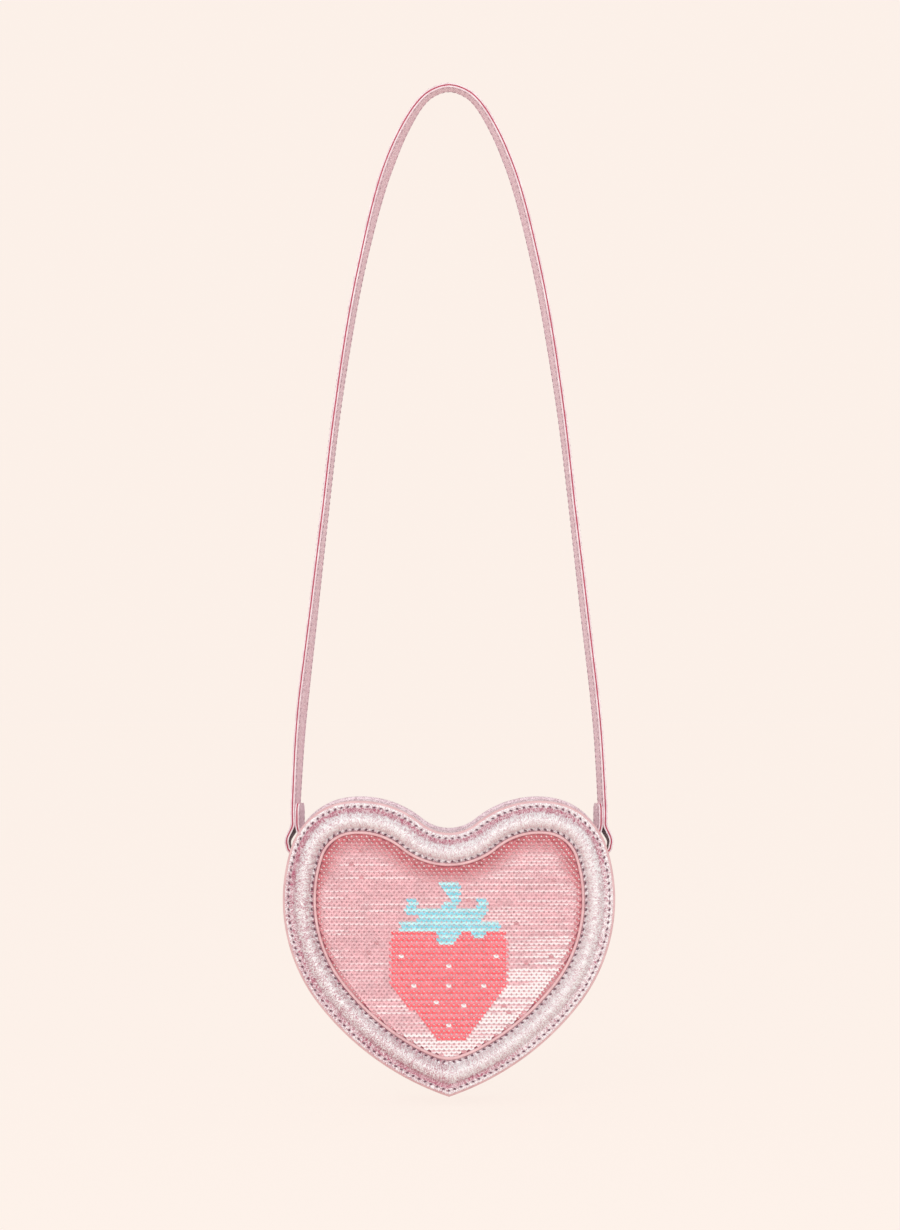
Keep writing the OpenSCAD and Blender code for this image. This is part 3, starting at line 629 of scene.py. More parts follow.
# ---- Sequins ---------------------------------------------------------------
# Three millimetre discs with a hole, sewn in rows so that each row covers the
# top of the one below. Their other colour is flipped up to show a strawberry.
ROW, PITCH, DISC_R, DISC_T, DISC_Y = 0.00165, 0.0025, 0.0015, 0.00006, -0.02328
HOLE_SHARE, CUP = 0.24, 0.00016

def grow(rise, shares):
    """Extrudes what is selected by a rise, and scales its new end."""
    bpy.ops.mesh.extrude_region_move(TRANSFORM_OT_translate={"value": rise})
    bpy.ops.transform.resize(value=shares, center_override=(0, 0, 0))

def disc_shape():
    """A cupped disc with a hole: rings of twelve points, closed on both faces."""
    deselect()
    bpy.ops.mesh.primitive_circle_add(vertices=12, radius=DISC_R)
    piece = bpy.context.object
    edit()
    for share, rise in ((HOLE_SHARE, -CUP), (1, -DISC_T), (1 / HOLE_SHARE, CUP)):
        grow((0, 0, rise), (share, share, 1))
    bpy.ops.mesh.select_all(action="DESELECT")
    bpy.ops.mesh.select_non_manifold()
    bpy.ops.mesh.bridge_edge_loops()
    close_up(fill=False)
    return take_shape(piece)

def berry_part(x, h):
    """Which colour is flipped up at a place: the berry, its leaves, or none (mm)."""
    t = (h - 28.4) / 54.8
    centre = 2.0 * max(0.0, 1 - t / 0.55)
    if 97.2 <= h <= 108.2 and -6.4 + (108.2 - h) * 0.73 <= x <= 5.6:
        return "leaf"
    if 83.2 <= h <= 99.9:
        if h <= 88.2:
            return "leaf" if -24.9 <= x <= 26.1 else ""
        if h <= 95.4:
            return "leaf" if (-15.8 <= x <= 16.4 if h < 91.6 else -21.4 <= x <= 19.2) else ""
        is_point = min(abs(x + 18.5), abs(x - 16.5)) <= 2.6
        return "leaf" if is_point or (h < 97.5 and abs(x - 1) < 4) else ""
    if (76.7 <= h < 83.2 and -5 <= x <= 6 - (83.2 - h) * 0.5) or (
            80 <= h < 83.2 and 12.5 <= x <= 18):
        return "leaf"
    if 0 <= t <= 1 and abs(x - centre) <= min(29.8 if t < 0.93 else 28.6, 6.3 + 46 * t):
        return "berry"
    return ""

SEEDS = [(-23.4, 71.2), (22.6, 70.7), (-0.4, 66.2), (-16.4, 56.2), (0.6, 56.2), (17.6, 56.2),
    (-6.4, 46.7), (8.1, 46.2), (1.1, 36.7)]
lcg = 7
def chance():
    """A number from 0 to 1 that comes out the same on each run."""
    global lcg
    lcg = (lcg * 1103515245 + 12345) % 2147483648
    return lcg / 2147483648

def half_outline(at, count=600):
    """Points of the right half's outline at an inset, from the cleft to the tip."""
    total = way_round(at)
    places = (heart_place(total * i / count, at)[:2] for i in range(count + 1))
    line = np.array([(x, 0, z) for x, z in places if x >= 0])
    return rounded_tip(line, at)[:, [0, 2]]

def is_inside(x, z, line):
    """Whether a point lies below the line's top and above its bottom at its x."""
    x0, z0, x1, z1 = line[:-1, 0], line[:-1, 1], line[1:, 0], line[1:, 1]
    cut = (z0 > z) != (z1 > z)
    crossings = x0[cut] + (z - z0[cut]) * (x1[cut] - x0[cut]) / (z1[cut] - z0[cut])
    return np.count_nonzero(crossings > abs(x)) % 2 == 1

disc = disc_shape()
discs = {"rose": [], "berry": [], "leaf": []}
window, deepest = half_outline(0.0171), half_outline(0.0166)
for row in range(int(HEIGHT / ROW)):
    h = row * ROW
    row_tilt = 11 + 2.2 * noise.noise(Vector((0, row * 0.9, 0)))
    for col in range(-32, 33):
        x = (col + 0.5 * (row % 2)) * PITCH
        z = TIP + h
        if is_inside(x, z, window):
            kind = berry_part(x * 1000, h * 1000) or "rose"
            near = np.min(np.hypot(deepest[:, 0] - abs(x), deepest[:, 1] - z))
            discs[kind].append((x, z, row, near, row_tilt))

SEED_DISCS = [min(discs["berry"], key=lambda d: hypot(d[0] * 1000 - x, (d[1] - TIP) * 1000 - h))[:2]
    for x, h in SEEDS]

def rim_shadow_share(x, z, near):
    """How much painted shadow, cast by the frame, a disc beside the window's welt gets: deep rose,
    widest along the top.
    """
    h = (z - TIP) * 1000
    top = min(max((h - 96 - 0.25 * max(0, abs(x) * 1000 - 30)) / 12, 0), 1)
    width = (0.0028 + 0.0052 * top) * min(max(h / 70, 0.35), 1)
    return min(1.0, max(0.0, 1.25 - near / width))

ROSE, ROSE_SHADOWED, ROSE_BRIGHT_DOT = (0.87, 0.47, 0.51), (0.55, 0.085, 0.11), (0.82, 0.45, 0.48)
ROSE_DOT, RIM_DOT = (0.78, 0.42, 0.46), (1, 0.8, 0.81)
# Each kind's rows take turns: a darker row, then a row with a painted highlight.
BERRY_ROWS_SHADED_AND_LIT, BERRY_DOT = ((0.98, 0.085, 0.11), (1, 0.2, 0.25)), (0.88, 0.75, 0.76)
SEED = (0.97, 0.88, 0.87)
LEAF_ROWS_SHADED_AND_LIT, LEAF_DOT = ((0.24, 0.73, 0.87), (0.5, 0.92, 0.97)), (0.84, 0.6, 0.63)

def sew_discs(name, kind):
    """All discs of one kind in a mesh, and the place and colour of each one's thread."""
    placed, tint, glint, dots = [], [], [], []
    for x, z, row, near, row_tilt in discs[kind]:
        h, odd = (z - TIP) * 1000, row % 2
        lean = radians(row_tilt + (chance() - 0.5) * 6)
        yaw = radians(3.2 + (chance() - 0.5) * 5)
        turn = Matrix.Rotation(yaw, 3, "Z") @ Matrix.Rotation(radians(90) - lean, 3, "X")
        placed.append((np.array(turn).T, (x, DISC_Y, z)))
        dot = np.array(ROSE_DOT) * (0.72 + 0.4 * chance())
        if kind == "rose":
            # Painted shadow from the frame: discs beside the welt are painted deep rose and lose
            # their glint.
            rim = rim_shadow_share(x, z, near)
            patch = 0.5 + 0.5 * noise.noise(Vector((x * 60, z * 90, 2)))
            # Painted highlights: every other row is a little lighter, glints run along every other
            # row and grow to the right, and the lower right is whiter.
            colour = np.array(ROSE) * (0.9 + 0.2 * patch) * (1.03 if odd else 0.95)
            colour = colour * (1 - rim) + np.array(ROSE_SHADOWED) * rim
            wave = noise.noise(Vector((x * 19, row * 1.37, 5))) * 1.5 + (0.36 if odd else -0.1)
            wave += 5.5 * max(0, x)
            low_right = (64 - h) / 55 + x * 1000 / 130
            bright = min(0.5, max(0, wave)) + max(0, min(0.7, low_right))
            bright = min(0.95, bright) * max(0, 1 - 1.3 * rim)
            if chance() < 0.014:
                colour, bright = colour * (0.84, 0.68, 0.69), 0
            dot = ROSE_BRIGHT_DOT if bright > 0.6 else dot * (1 - rim) + np.array(RIM_DOT) * rim
        elif kind == "berry":
            is_seed = (x, z) in SEED_DISCS
            colour, bright, dot = SEED if is_seed else BERRY_ROWS_SHADED_AND_LIT[odd], float(is_seed), BERRY_DOT
        else:
            colour, bright, dot = LEAF_ROWS_SHADED_AND_LIT[odd], 0.2 * odd, LEAF_DOT
        tint.append([*np.clip(np.array(colour) * (0.9 + 0.2 * chance()), 0, 1), 1])
        glint.append(min(1, bright * (0.85 + 0.3 * chance())))
        tone = np.clip(np.array(dot) * (0.9 + 0.2 * chance()), 0, 1)
        dots.append(((x, DISC_Y + 0.00003, z), [*tone, 1]))
    piece = many(name, disc, placed)
    mark_points(piece, "tint", tint)
    mark_points(piece, "glint", glint)
    mark_points(piece, "lower", np.tile(-disc[0][:, 1] / DISC_R, len(placed)))
    return piece, dots

sequin, paint, coord = new_material("sequin_film", Coat_Weight=0.3, Coat_Roughness=0.15)
tint, glint, lower = (attribute(coord["Object"], name) for name in ("tint", "glint", "lower"))
# The glint is a painted highlight on each disc's lower edge; a brighter disc shows it further up.
edge_light = spread(math_node("MULTIPLY_ADD", glint["Fac"], 1.4, lower["Fac"]), 0.95, 1.5)
# Painted sparkle: fine specks whiten the film, more so on discs with more glint.
film = noise_node(coord["Object"], 1300, 3, 0.8)
shine = math_node("MULTIPLY_ADD", glint["Fac"], 0.35, 0.14)
shade = blend_colour(times(spread(film, 0.48, 0.62), shine), tint["Color"], (1, 0.86, 0.88, 1))
white = blend_colour(spread(glint["Fac"], 0.3, 0.9), (0.97, 0.75, 0.77, 1), (1, 0.95, 0.95, 1))
wire(paint, Base_Color=blend_colour(edge_light, shade, white),
    Roughness=spread(film, 0.3, 0.7, 0.2, 0.36))
bumped(paint, film, 0.15, 0.0001)

dots = []
for name, kind in (("rose_sequins", "rose"), ("berry_sequins", "berry"), ("leaf_sequins", "leaf")):
    piece, own_dots = sew_discs(name, kind)
    dots += own_dots
    dress(piece, sequin)
    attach(piece, "purse")
    if kind == "rose":
        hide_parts("sequin_field")

def knot_shape():
    """The dot of thread that holds a disc: a small six-sided bead with two rings."""
    deselect()
    bpy.ops.mesh.primitive_circle_add(vertices=6, radius=0.0005)
    piece = bpy.context.object
    edit()
    grow((0, 0, 0.00014), (0.8, 0.8, 1))
    grow((0, 0, 0.00006), (0.4, 0.4, 1))
    close_up()
    return take_shape(piece)

spots = [(place, (1, 0, 0), (0, -1, 0.1)) for place, _ in dots]
knots = copies("sequin_threads", knot_shape(), spots)
mark_points(knots, "tint", [tone for _, tone in dots])
dot_thread, paint, coord = new_material("sequin_thread", Roughness=0.5)
strands = noise_node(coord["Object"], 3000, 2)
two_tones(paint, spread(strands, 0.3, 0.7, 0, 0.25), attribute(strands, "tint")["Color"],
    (0.5, 0.3, 0.32, 1))
bumped(paint, strands, 0.3, 0.0001)
dress(knots, dot_thread)
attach(knots, "purse")


# ---- Sequin cloth, linings and boards --------------------------------------
# The discs are sewn on a rose mesh cloth drawn flat over a stiff board. A woven
# lining covers the inside of both boards.
def slab(name, inset, y0, y1):
    """A flat sheet of the heart's outline with softly rounded rims."""
    rim = (y1 - y0) * 0.3
    return spun(name, [(inset + rim, y0), (inset, y0 + rim), (inset, y1 - rim), (inset + rim, y1)],
        step=0.002, wall=True, crease=40)

woven, into, out = group_node("plain_weave",
    [("Place", "NodeSocketVector", None), ("Threads", "NodeSocketFloat", 2000.0)],
    [("Height", "NodeSocketFloat")])
axes = node_by(into["Place"], "ShaderNodeSeparateXYZ", Vector=into["Place"])
warp, weft = (times(axes[axis], into["Threads"]) for axis in ("X", "Y"))
crossing = node_by(warp, "ShaderNodeCombineXYZ", X=warp, Y=weft, Z=0.5)["Vector"]
check = node_by(crossing, "ShaderNodeTexChecker", Vector=crossing, Scale=1, Color1=(1, 1, 1, 1),
    Color2=(0, 0, 0, 1))["Fac"]
over, under = (math_node("ABSOLUTE", math_node("SINE", times(run, pi))) for run in (warp, weft))
feed(out["Height"], plus(times(check, over), times(math_node("SUBTRACT", 1, check), under)))

def cloth(name, threads, light, dark, by_uv=False):
    """Plain woven cloth, with its threads along the panel or the piece's UV map."""
    material, paint, coord = new_material(name, Roughness=0.85, Sheen_Weight=0.3)
    place = coord["UV"]
    if not by_uv:
        place = node_by(place, "ShaderNodeMapping", Vector=coord["Object"],
            Rotation=(radians(90), 0, 0))["Vector"]
    weave = use_group(woven, Place=place, Threads=threads)["Height"]
    cloud = noise_node(coord["Object"], 90)
    share = math_node("MULTIPLY_ADD", weave, 0.7, times(cloud, 0.3))
    two_tones(paint, share, dark, light)
    bumped(paint, weave, 0.5, 0.0002)
    return material

mesh_cloth = cloth("rose_mesh_cloth", 1300, (0.6, 0.17, 0.22, 1), (0.25, 0.05, 0.08, 1))
lining_cloth = cloth("woven_lining", 2200, (0.9, 0.72, 0.75, 1), (0.7, 0.5, 0.54, 1))
for name, node, inset, y, material, slot, below in (
        ("mesh_sheet", "sequin_cloth", 0.0029, -0.0227, mesh_cloth, "sequin_cloth", "front_board"),
        ("front_inside_lining", "front_lining", 0.00305, -0.0205, lining_cloth, "lining",
            "front_board"),
        ("back_inside_lining", "back_lining", 0.00305, 0.0205, lining_cloth, "lining",
            "back_board")):
    piece = slab(name, inset, y - 0.00025, y + 0.00025)
    dress(piece, material)
    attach(piece, "purse")
    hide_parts(node)

bag_board, paint, coord = new_material("grey_bag_board", Roughness=0.9)
fibres = noise_node(coord["Object"], 700, 5, 0.75, 1.2)
flecks = noise_node(coord["Object"], 240, 2)
pulp = math_node("MULTIPLY_ADD", fibres, 0.6, times(flecks, 0.4))
two_tones(paint, spread(pulp, 0.35, 0.65), (0.42, 0.39, 0.36, 1), (0.62, 0.59, 0.55, 1))
bumped(paint, fibres, 0.3, 0.0002)
for node in ("front_board", "back_board"):
    dress(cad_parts[node], bag_board)


# ---- Back panel and its welt -----------------------------------------------
# One flat sheet of the foil leather glued on the back board and sewn round its
# edge. Its welt is piping in the same leather.
BACK_LINE, BACK_PITCH = 0.0048, 0.0034
panel_leather = foil_leather("panel_foil_leather", 560, (1, 0.91, 0.935, 1), (0.36, 0.11, 0.18, 1),
    0.67)
welt_leather = foil_leather("welt_foil_leather", 640, (1, 0.84, 0.89, 1), (0.38, 0.13, 0.2, 1),
    0.63, strength=0.3)
back_skin = slab("back_leather", 0.0029, 0.023, PANEL_Y)
dress(back_skin, panel_leather)
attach(back_skin, "purse")
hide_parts("back_panel")

back_spots = heart_spots(BACK_LINE, even_pitch(BACK_LINE, BACK_PITCH), 0.02405, (0, 1, 0))
back_stitches = copies("back_stitches", long_stitch, back_spots)
dress(back_stitches, thread)
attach(back_stitches, "purse")

back_welt = spun("back_piping", tube_section(WELT_R, WELT_Y, WELT_R, 14), step=0.0015)
dress(back_welt, welt_leather)
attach(back_welt, "purse")
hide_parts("back_welt")


# ---- Gusset, its lining and the strips along the mouth ---------------------
# Bands of the foil leather between the two welts, drawn in between them. The
# long one runs under the tip, the two narrow ones along the zip.
REACH, MOUTH_Y = 0.0214, 0.0055
LEATHER_T = 0.0012
gusset_leather = foil_leather("gusset_foil_leather", 560, (1, 0.85, 0.89, 1), (0.34, 0.1, 0.17, 1),
    0.74)

def gusset_at(y):
    """Inset of the gusset's outside, which sags most in the middle of its width."""
    return 0.0012 + 0.0052 * (1 - (y / REACH) ** 2)

def band_section(y0, y1, count, inner=0, thick=LEATHER_T):
    """A band's section between two depths, with its outside this far inside the gusset's."""
    line = [y0 + (y1 - y0) * i / count for i in range(count + 1)]
    outside = [(gusset_at(y) + inner, y) for y in line]
    return outside + [(d + thick, y) for d, y in outside[::-1]]

# The heart's first three arcs are the mouth's, the others the lower band's.
for name, node, arcs, section, material, slot in (
        ("gusset_leather", "gusset_band", ARCS[3:], band_section(-REACH, REACH, 26),
            gusset_leather, "foil_leather"),
        ("gusset_inside_lining", "gusset_lining", ARCS[3:],
            band_section(-0.02015, 0.02015, 16, 0.0013, 0.0005), lining_cloth, "lining"),
        ("mouth_leather_front", "mouth_strip_front", ARCS[:3], band_section(-REACH, -MOUTH_Y, 12),
            gusset_leather, "foil_leather"),
        ("mouth_leather_back", "mouth_strip_back", ARCS[:3], band_section(MOUTH_Y, REACH, 12),
            gusset_leather, "foil_leather")):
    piece = spun(name, section, arcs=arcs, step=0.0025)
    lay_uv(piece, 0.003, lambda co, inset: co[:, 1])
    dress(piece, material)
    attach(piece, "purse")
    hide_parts(node)

strip_spots = []
for y in (-0.0069, 0.0069):
    for i in range(29):
        x, z, ax, az = heart_place((i + 0.5) * BACK_PITCH, gusset_at(y), ARCS[:3])
        strip_spots += [((side * x, y, z), (side * ax, 0, az), (-side * az, 0, ax))
            for side in (1, -1)]
strip_stitches = copies("mouth_stitches", long_stitch, strip_spots)
dress(strip_stitches, thread)
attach(strip_stitches, "purse")


# ---- Zip -------------------------------------------------------------------
# Two woven tapes under the strips carry the moulded teeth. A clamped stop ends
# the rows on the left, and leather covers hide both ends.
ZIP_X, ZIP_R, ZIP_IN = HALF_W * 0.529, 0.0303183, 0.00735652
ZIP_TURN, ZIP_END_TURN = 130.185, 42.548
TEETH, TOOTH_PITCH, COVER_TURN = 52, 0.0025, 9
zip_top = TIP + HEIGHT - ZIP_IN
zip_z = zip_top - ZIP_R
cleft_zip_r = ZIP_X ** 2 / (2 * CLEFT) - ZIP_R + CLEFT / 2
ZIP_ARCS = [(0, zip_top - CLEFT + cleft_zip_r, -cleft_zip_r, 90, ZIP_TURN),
    (ZIP_X, zip_z, ZIP_R, ZIP_TURN, ZIP_END_TURN)]
zip_half = cleft_zip_r * radians(ZIP_TURN - 90) + ZIP_R * radians(ZIP_TURN - ZIP_END_TURN)

def zip_spot(s):
    """Place, way along and way out of the zip, s along it from the cleft."""
    x, z, ax, az = heart_place(abs(s), 0, ZIP_ARCS)
    if s < 0:
        return (-x, 0, z), (ax, 0, -az), (az, 0, ax)
    return (x, 0, z), (ax, 0, az), (-az, 0, ax)

def to_left(piece):
    """Turns a right-hand piece into its twin on the left."""
    put_points(piece, points_of(piece) * (-1, 1, 1))
    piece.data.flip_normals()

tape_cloth = cloth("woven_zip_tape", 260, (0.86, 0.52, 0.58, 1), (0.55, 0.26, 0.33, 1), by_uv=True)
for name, node, side in (
        ("front_zip_tape", "zip_tape_front", -1), ("back_zip_tape", "zip_tape_back", 1)):
    ys = [side * (0.0017 + 0.012 * i / 14) for i in range(15)]
    section = [(0, y) for y in ys] + [(0.0006, y) for y in ys[::-1]]
    piece = spun(name, section, arcs=ZIP_ARCS, step=0.002)
    lay_uv(piece, 0, lambda co, inset: co[:, 1], ZIP_ARCS)
    dress(piece, tape_cloth)
    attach(piece, "purse")
    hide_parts(node)

def tooth_shape(side):
    """A moulded tooth: a clamp on the tape with a narrower waist and a rounded nose."""
    deselect()
    bpy.ops.mesh.primitive_cube_add(size=1, location=(0, -0.001, 0), scale=(0.0011, 0.0014, 0.002))
    piece = bpy.context.object
    bpy.ops.object.transform_apply(location=True, rotation=True, scale=True)
    edit("FACE", "DESELECT")
    bpy.ops.object.mode_set(mode="OBJECT")
    for face in piece.data.polygons:
        face.select = face.normal.y > 0.5
    bpy.ops.object.mode_set(mode="EDIT")
    grow((0, 0.0003, 0), (0.66, 1, 0.8))
    grow((0, 0.0003, 0), (1, 1, 1))
    grow((0, 0.0002, 0), (1.45, 1, 1.1))
    bpy.ops.mesh.select_all(action="SELECT")
    bpy.ops.mesh.bevel(offset=0.00012, segments=1)
    close_up(fill=False)
    co, faces = take_shape(piece, (1, -side, 1))
    return co - (0, 0, 0.0003), faces

moulded, paint, coord = new_material("moulded_teeth", Roughness=0.3)
cast = noise_node(coord["Object"], 1100, 2)
two_tones(paint, cast, (0.78, 0.42, 0.5, 1), (0.95, 0.66, 0.72, 1))
bumped(paint, cast, 0.15, 0.0001)
row_start = 0.0016 + ZIP_R * radians(9.5) - zip_half
for name, node, side, shift in (
        ("front_zip_teeth", "zip_teeth_front", -1, 0.5),
        ("back_zip_teeth", "zip_teeth_back", 1, 1)):
    spots = [zip_spot(row_start + (i + shift) * TOOTH_PITCH) for i in range(TEETH)]
    piece = copies(name, tooth_shape(side), spots)
    piece.data.set_sharp_from_angle(angle=radians(35))
    dress(piece, moulded)
    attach(piece, "purse")
    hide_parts(node)

cover_arc = (ZIP_X, zip_z, ZIP_R, ZIP_END_TURN + COVER_TURN, ZIP_END_TURN)
cover_spots = []
for name, node, side in (
        ("right_zip_cover", "zip_end_right", 1), ("left_zip_cover", "zip_end_left", -1)):
    ys = [-0.0054 + 0.0108 * i / 12 for i in range(13)]
    section = [(0.00025 * (abs(y) > 0.005) - LEATHER_T, y) for y in ys]
    section += [(-0.00005, y) for y in ys[::-1]]
    piece = spun(name, section, arcs=[cover_arc], step=0.0006, mirrored=False)
    if side < 0:
        to_left(piece)
    dress(piece, gusset_leather)
    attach(piece, "purse")
    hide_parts(node)
    a = radians(ZIP_END_TURN + COVER_TURN - 0.9)
    x, z = ZIP_X + (ZIP_R + LEATHER_T) * cos(a), zip_z + (ZIP_R + LEATHER_T) * sin(a)
    cover_spots += [((side * x, y, z), (0, 1, 0), (side * cos(a), 0, sin(a)))
        for y in (-0.0036, -0.0012, 0.0012, 0.0036)]
cover_stitches = copies("cover_stitches", stitch_shape(0.0018, 0.0005), cover_spots)
dress(cover_stitches, thread)
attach(cover_stitches, "purse")


# ---- Tabs ------------------------------------------------------------------
# A strip of foil leather folded round each ring's bar. Both ends are sewn flat
# on the gusset below the ring.
SIDE_X, SIDE_Z, BAR_R, TAB_WAY = -0.00229632, TIP + 0.0986937, 0.0821541, 12

def ribbon(name, path, half_widths, thick, faces=None, off=0, rim=0):
    """A flat strip laid along a path in the XZ plane, with its width along Y. faces turns
    it about its length, off lifts it from the path, rim is the material of its edges."""
    deselect()
    n = len(path) - 1
    bpy.ops.mesh.primitive_grid_add(x_subdivisions=n, y_subdivisions=8, size=2)
    piece = bpy.context.object
    piece.name = piece.data.name = name
    co = points_of(piece)
    index = np.rint((co[:, 0] + 1) / 2 * n).astype(int)
    share = co[:, 1]
    path = np.array(path)
    ahead = np.gradient(path, axis=0)
    ahead /= np.hypot(ahead[:, 0], ahead[:, 1])[:, None]
    out_way = np.stack([-ahead[:, 1], ahead[:, 0]], axis=1)
    lean = np.zeros(n + 1) if faces is None else np.radians(faces)
    o, a = out_way[index], lean[index]
    face = np.stack([o[:, 0] * np.cos(a), np.sin(a), o[:, 1] * np.cos(a)], axis=1)
    level = np.stack([-o[:, 0] * np.sin(a), np.cos(a), -o[:, 1] * np.sin(a)], axis=1)
    place = np.stack([path[index, 0], np.zeros(len(index)), path[index, 1]], axis=1)
    put_points(piece, place + off * face + (np.array(half_widths)[index] * share)[:, None] * level)
    gone = np.concatenate([[0], np.cumsum(np.hypot(*np.diff(path, axis=0).T))])
    uv = uv_of(piece)
    for loop in piece.data.loops:
        v = loop.vertex_index
        uv.data[loop.index].uv = (gone[index[v]] * 10, half_widths[index[v]] * share[v] * 10)
    wall = piece.modifiers.new("thickness", "SOLIDIFY")
    wall.thickness = thick
    wall.offset = 0
    wall.use_even_offset = True
    wall.material_offset_rim = rim
    for _ in range(rim + 1):
        piece.data.materials.append(None)
    bpy.ops.object.modifier_apply(modifier=wall.name)
    bpy.ops.object.shade_smooth_by_angle(angle=radians(40))
    return piece

def at_side(radius, angle):
    return SIDE_X + radius * cos(radians(angle)), SIDE_Z + radius * sin(radians(angle))

TAB_OUT, TAB_T, TAB_HALF = 0.002285, 0.00128, 0.0055
inner_r, outer_r, eye_r = BAR_R - TAB_OUT + 0.00065, BAR_R - TAB_OUT + 0.00195, 0.00173
fall, throat = degrees(0.014 / BAR_R), degrees(0.0042 / BAR_R)
bar_x, bar_z = at_side(BAR_R, TAB_WAY)
tab_path = [at_side(inner_r, TAB_WAY - fall + (fall - throat) * i / 16) for i in range(17)]
tab_path += [(bar_x + eye_r * cos(radians(a)), bar_z + eye_r * sin(radians(a)))
    for a in np.linspace(TAB_WAY + 205, TAB_WAY - 25, 33)]
tab_path += [at_side(outer_r, TAB_WAY - throat - (fall - throat) * i / 16) for i in range(17)]
tab_leather = foil_leather("tab_foil_leather", 640, (1, 0.84, 0.89, 1), (0.36, 0.11, 0.18, 1), 0.68,
    strength=0.4)

def tab_spot(side, y, angle, is_across):
    """A stitch on the outside of a tab, across it or along it."""
    x, z = at_side(outer_r + 0.00065, angle)
    a = radians(angle)
    ahead = (0, 1, 0) if is_across else (side * sin(a), 0, -cos(a))
    return (side * x, y, z), ahead, (side * cos(a), 0, sin(a))

tab_spots = []
for name, node, side in (("right_tab", "tab_right", 1), ("left_tab", "tab_left", -1)):
    piece = ribbon(name, tab_path, [TAB_HALF] * len(tab_path), TAB_T)
    if side < 0:
        to_left(piece)
    dress(piece, tab_leather)
    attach(piece, "purse")
    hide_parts(node)
    tab_spots += [tab_spot(side, y, TAB_WAY - 3.9 - 1.6 * i, False)
        for i in range(4) for y in (-0.0042, 0.0042)]
    tab_spots += [tab_spot(side, y, TAB_WAY - below, True)
        for y in (-0.0028, 0, 0.0028) for below in (3.6, 9.3)]
tab_stitches = copies("tab_stitches", stitch_shape(0.0019, 0.0005), tab_spots)
dress(tab_stitches, thread)
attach(tab_stitches, "purse")


# ---- Strap -----------------------------------------------------------------
# Two foil plies glued on a red core and sewn near both edges. Each end goes
# round its ring, and is sewn back on the leg as a short tail with a round end.
FOOT_X, FOOT_Z, STRAP_T, STRAP_HALF, TAIL = 0.0777625, -0.370983, 0.0021, 0.005, 0.0096
LOOP_X, LOOP_Z, LOOP_R, LOOP_H = 0.0784625, -0.382983, 0.00285, 0.012
SEAM_X, SEAM_HALF = 0.0766625, 0.0011
FALL = STRAP_T / 2 - FOOT_Z
LEG_SHARES = [(0, 0), (0.118, 0.0079), (0.199, 0.0241), (0.282, 0.0522), (0.352, 0.083),
    (0.436, 0.1305), (0.526, 0.2008), (0.626, 0.2993), (0.732, 0.4403), (0.812, 0.581),
    (0.89, 0.7224), (0.966, 0.863), (0.9994, 0.976), (1, 1)]

def ease(t):
    t = min(max(t, 0), 1)
    return t * t * (3 - 2 * t)

def strap_path():
    """Middle line from the left tail over the crown to the right tail."""
    knots = [Vector((a * FOOT_X, STRAP_T / 2 - b * FALL)) for a, b in LEG_SHARES]
    gone = [0]
    for p, q in zip(knots, knots[1:]):
        gone.append(gone[-1] + (q - p).length)
    slopes = [Vector((1, 0))]
    slopes += [(knots[i + 1] - knots[i - 1]) / (gone[i + 1] - gone[i - 1])
        for i in range(1, len(knots) - 1)]
    slopes += [Vector((0, -1))]
    line = []
    for i in range(len(knots) - 1):
        h = gone[i + 1] - gone[i]
        steps = 2 + ceil(h / 0.004)
        for j in range(steps):
            u = j / steps
            v, w = u * u, u ** 3
            line.append((2 * w - 3 * v + 1) * knots[i] + (w - 2 * v + u) * h * slopes[i]
                + (3 * v - 2 * w) * knots[i + 1] + (w - v) * h * slopes[i + 1])
    # The strands stand off the bow in a soft bulge before they meet.
    loop = Vector((LOOP_X, LOOP_Z))
    strand = lambda side, u: Vector((
        LOOP_X + side * LOOP_R + side * 0.0008 * sin(pi * u ** 0.65) ** 2
        + ease(u) * (SEAM_X + side * SEAM_HALF - LOOP_X - side * LOOP_R), LOOP_Z + u * LOOP_H))
    line += [strand(1, i / 14) for i in range(14, 0, -1)]
    line += [loop + LOOP_R * Vector((cos(a), sin(a))) for a in (-pi * i / 24 for i in range(25))]
    line += [strand(-1, i / 14) for i in range(1, 15)]
    line += [Vector((SEAM_X - SEAM_HALF, FOOT_Z + TAIL * t)) for t in
        (0.1, 0.2, 0.3, 0.4, 0.5, 0.6, 0.68, 0.75, 0.8, 0.85, 0.89, 0.92, 0.95, 0.97, 0.985, 1)]
    return [(-p.x, p.y) for p in line[:0:-1]] + [(p.x, p.y) for p in line]

path = strap_path()
line = np.array(path)
ahead = np.gradient(line, axis=0)
is_tail = -ahead[:, 1] * line[:, 0] < 0
turned = np.array([ease((z - LOOP_Z) / LOOP_H) for _, z in path])
# How far the hanging legs turn about their length: height in metres, degrees
LEFT_LEANS = [(-0.3825, 3), (-0.378, 9), (-0.37, 15), (-0.34, 19), (-0.309, 22), (-0.2585, 16),
    (-0.208, 11), (-0.157, 11), (-0.127, 13.5), (-0.086, 14), (-0.056, 19), (-0.036, 21),
    (-0.015, 16), (0.001, 8)]
RIGHT_LEANS = [(-0.3825, 3), (-0.378, 9), (-0.37, 15), (-0.309, 15), (-0.2585, 14.5),
    (-0.208, 11), (-0.157, 14.5), (-0.127, 17), (-0.086, 17), (-0.056, 18), (-0.036, 17),
    (-0.015, 14), (0.001, 8)]
hangs = [np.interp(line[:, 1], *zip(*table)) for table in (LEFT_LEANS, RIGHT_LEANS)]
leans = np.where(is_tail, -15 * turned, np.where(line[:, 0] < 0, *hangs))
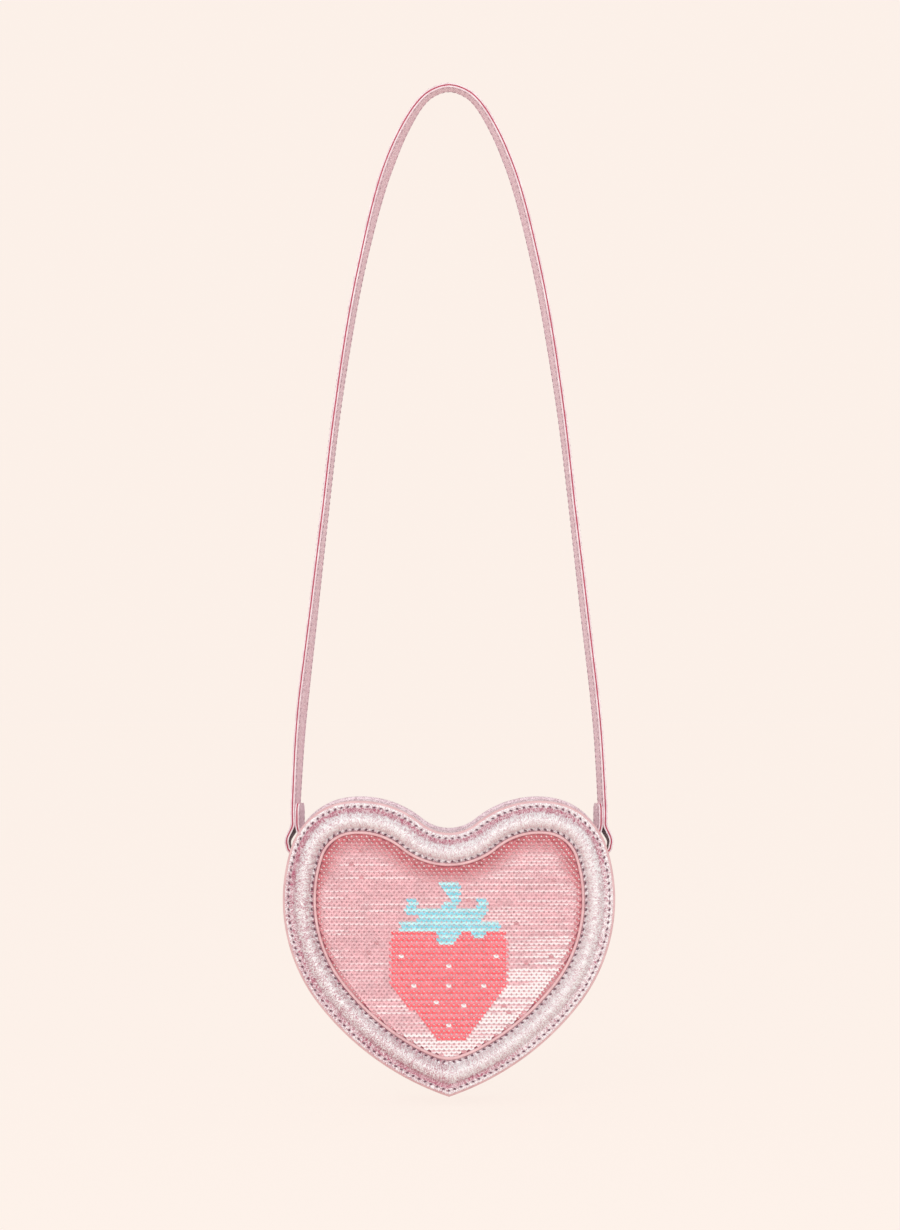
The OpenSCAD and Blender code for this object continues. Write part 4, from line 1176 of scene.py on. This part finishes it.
# Each tail ends round: its half width falls off over its last few millimetres.
left = np.minimum(FOOT_Z + TAIL - line[:, 1] + 0.25 * STRAP_HALF, STRAP_HALF)
round_end = np.sqrt(np.maximum(STRAP_HALF ** 2 - (STRAP_HALF - left) ** 2, 1e-8))
halves = np.where(is_tail, round_end, STRAP_HALF)
PLY_OFF, PLY_T, STRAP_PITCH = 0.0007, 0.00069, 0.0031
strap_leather = foil_leather("strap_foil_leather", 105, (1, 0.8, 0.855, 1), (0.42, 0.1, 0.17, 1),
    0.62, strength=0.3, stretch=(1, 1, 1))
# The inside ply is painted dark as shade inside each loop, round its ring.
inside_leather = foil_leather("strap_inside_leather", 105, (1, 0.74, 0.8, 1), (0.4, 0.08, 0.14, 1),
    0.56, strength=0.3, stretch=(1, 1, 1), shaded_below=FOOT_Z - 0.0015)

# The plies' cut edges, dyed nearly white
ply_edge, paint, coord = new_material("pale_cut_edge", Roughness=0.6)
grain = use_group(pores, Place=coord["Object"], Scale=1600)
two_tones(paint, spread(grain["Tone"], 0.35, 0.65), (0.8, 0.6, 0.65, 1), (0.97, 0.86, 0.89, 1))
bumped(paint, grain["Height"], 0.3, 0.0001)

core_red, paint, coord = new_material("red_core_leather", Roughness=0.7)
fibres = noise_node(coord["Object"], 1300, 3, 0.7)
two_tones(paint, spread(fibres, 0.3, 0.7), (0.38, 0.03, 0.07, 1), (0.62, 0.085, 0.15, 1))
bumped(paint, fibres, 0.4, 0.0001)

for name, node, off, material, slot in (
        ("strap_outer_leather", "strap_outer_ply", PLY_OFF, strap_leather, "foil_leather"),
        ("strap_red_core", "strap_core", 0, core_red, "red_core"),
        ("strap_inner_leather", "strap_inner_ply", -PLY_OFF, inside_leather, "foil_leather")):
    rim = 0 if node == "strap_core" else 1
    piece = ribbon(name, path, halves - (0 if rim else 0.00012), PLY_T, leans, off, rim)
    piece.data.materials[0] = material
    if rim:
        piece.data.materials[1] = ply_edge
    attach(piece, "strap")
    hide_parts(node)
gone = np.concatenate([[0], np.cumsum(np.hypot(*np.diff(line, axis=0).T))])
strap_spots = []
for s in (np.arange(int(gone[-1] / STRAP_PITCH)) + 0.5) * STRAP_PITCH:
    x, z, ax, az, turn, half = (float(np.interp(s, gone, values))
        for values in (*line.T, *ahead.T, leans, halves))
    ax, az = np.array((ax, az)) / np.hypot(ax, az)
    if half < 0.0046 or z < FOOT_Z - 0.003:
        continue
    a = radians(turn)
    face = Vector((-az * cos(a), sin(a), ax * cos(a)))
    level = Vector((az * sin(a), cos(a), -ax * sin(a)))
    for out_side in (-1, 1):
        for edge_side in (-1, 1):
            place = Vector((x, 0, z)) + out_side * 0.001 * face
            place += edge_side * (half - 0.0011) * level
            strap_spots.append((place, (ax, 0, az), face * out_side))
strap_stitches = copies("strap_stitches", stitch_shape(0.0021, 0.0004), strap_spots)
dress(strap_stitches, thread)
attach(strap_stitches, "strap")


# ---- Rings, slider, pull and stops -----------------------------------------
# Cast metal with a pale gold plate. They keep their CAD shapes and get the
# plate's soft unevenness, with fine rubbing marks.
gold, paint, coord = new_material("pale_gold_plate", Metallic=1)
cloudy = noise_node(coord["Object"], 240)
drawn = node_by(cloudy, "ShaderNodeMapping", Vector=coord["Object"], Scale=(1, 1, 0.08))["Vector"]
marks = noise_node(drawn, 3200, 2, 0.6)
two_tones(paint, cloudy, (0.78, 0.55, 0.25, 1), (0.93, 0.74, 0.42, 1))
wire(paint, Roughness=spread(marks, 0.35, 0.7, 0.16, 0.36))
bumped(paint, marks, 0.12, 0.00005)
for node in ("ring_left", "ring_right", "zip_slider", "zip_pull", "zip_top_stops",
        "zip_bottom_stop"):
    dress(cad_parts[node], gold)
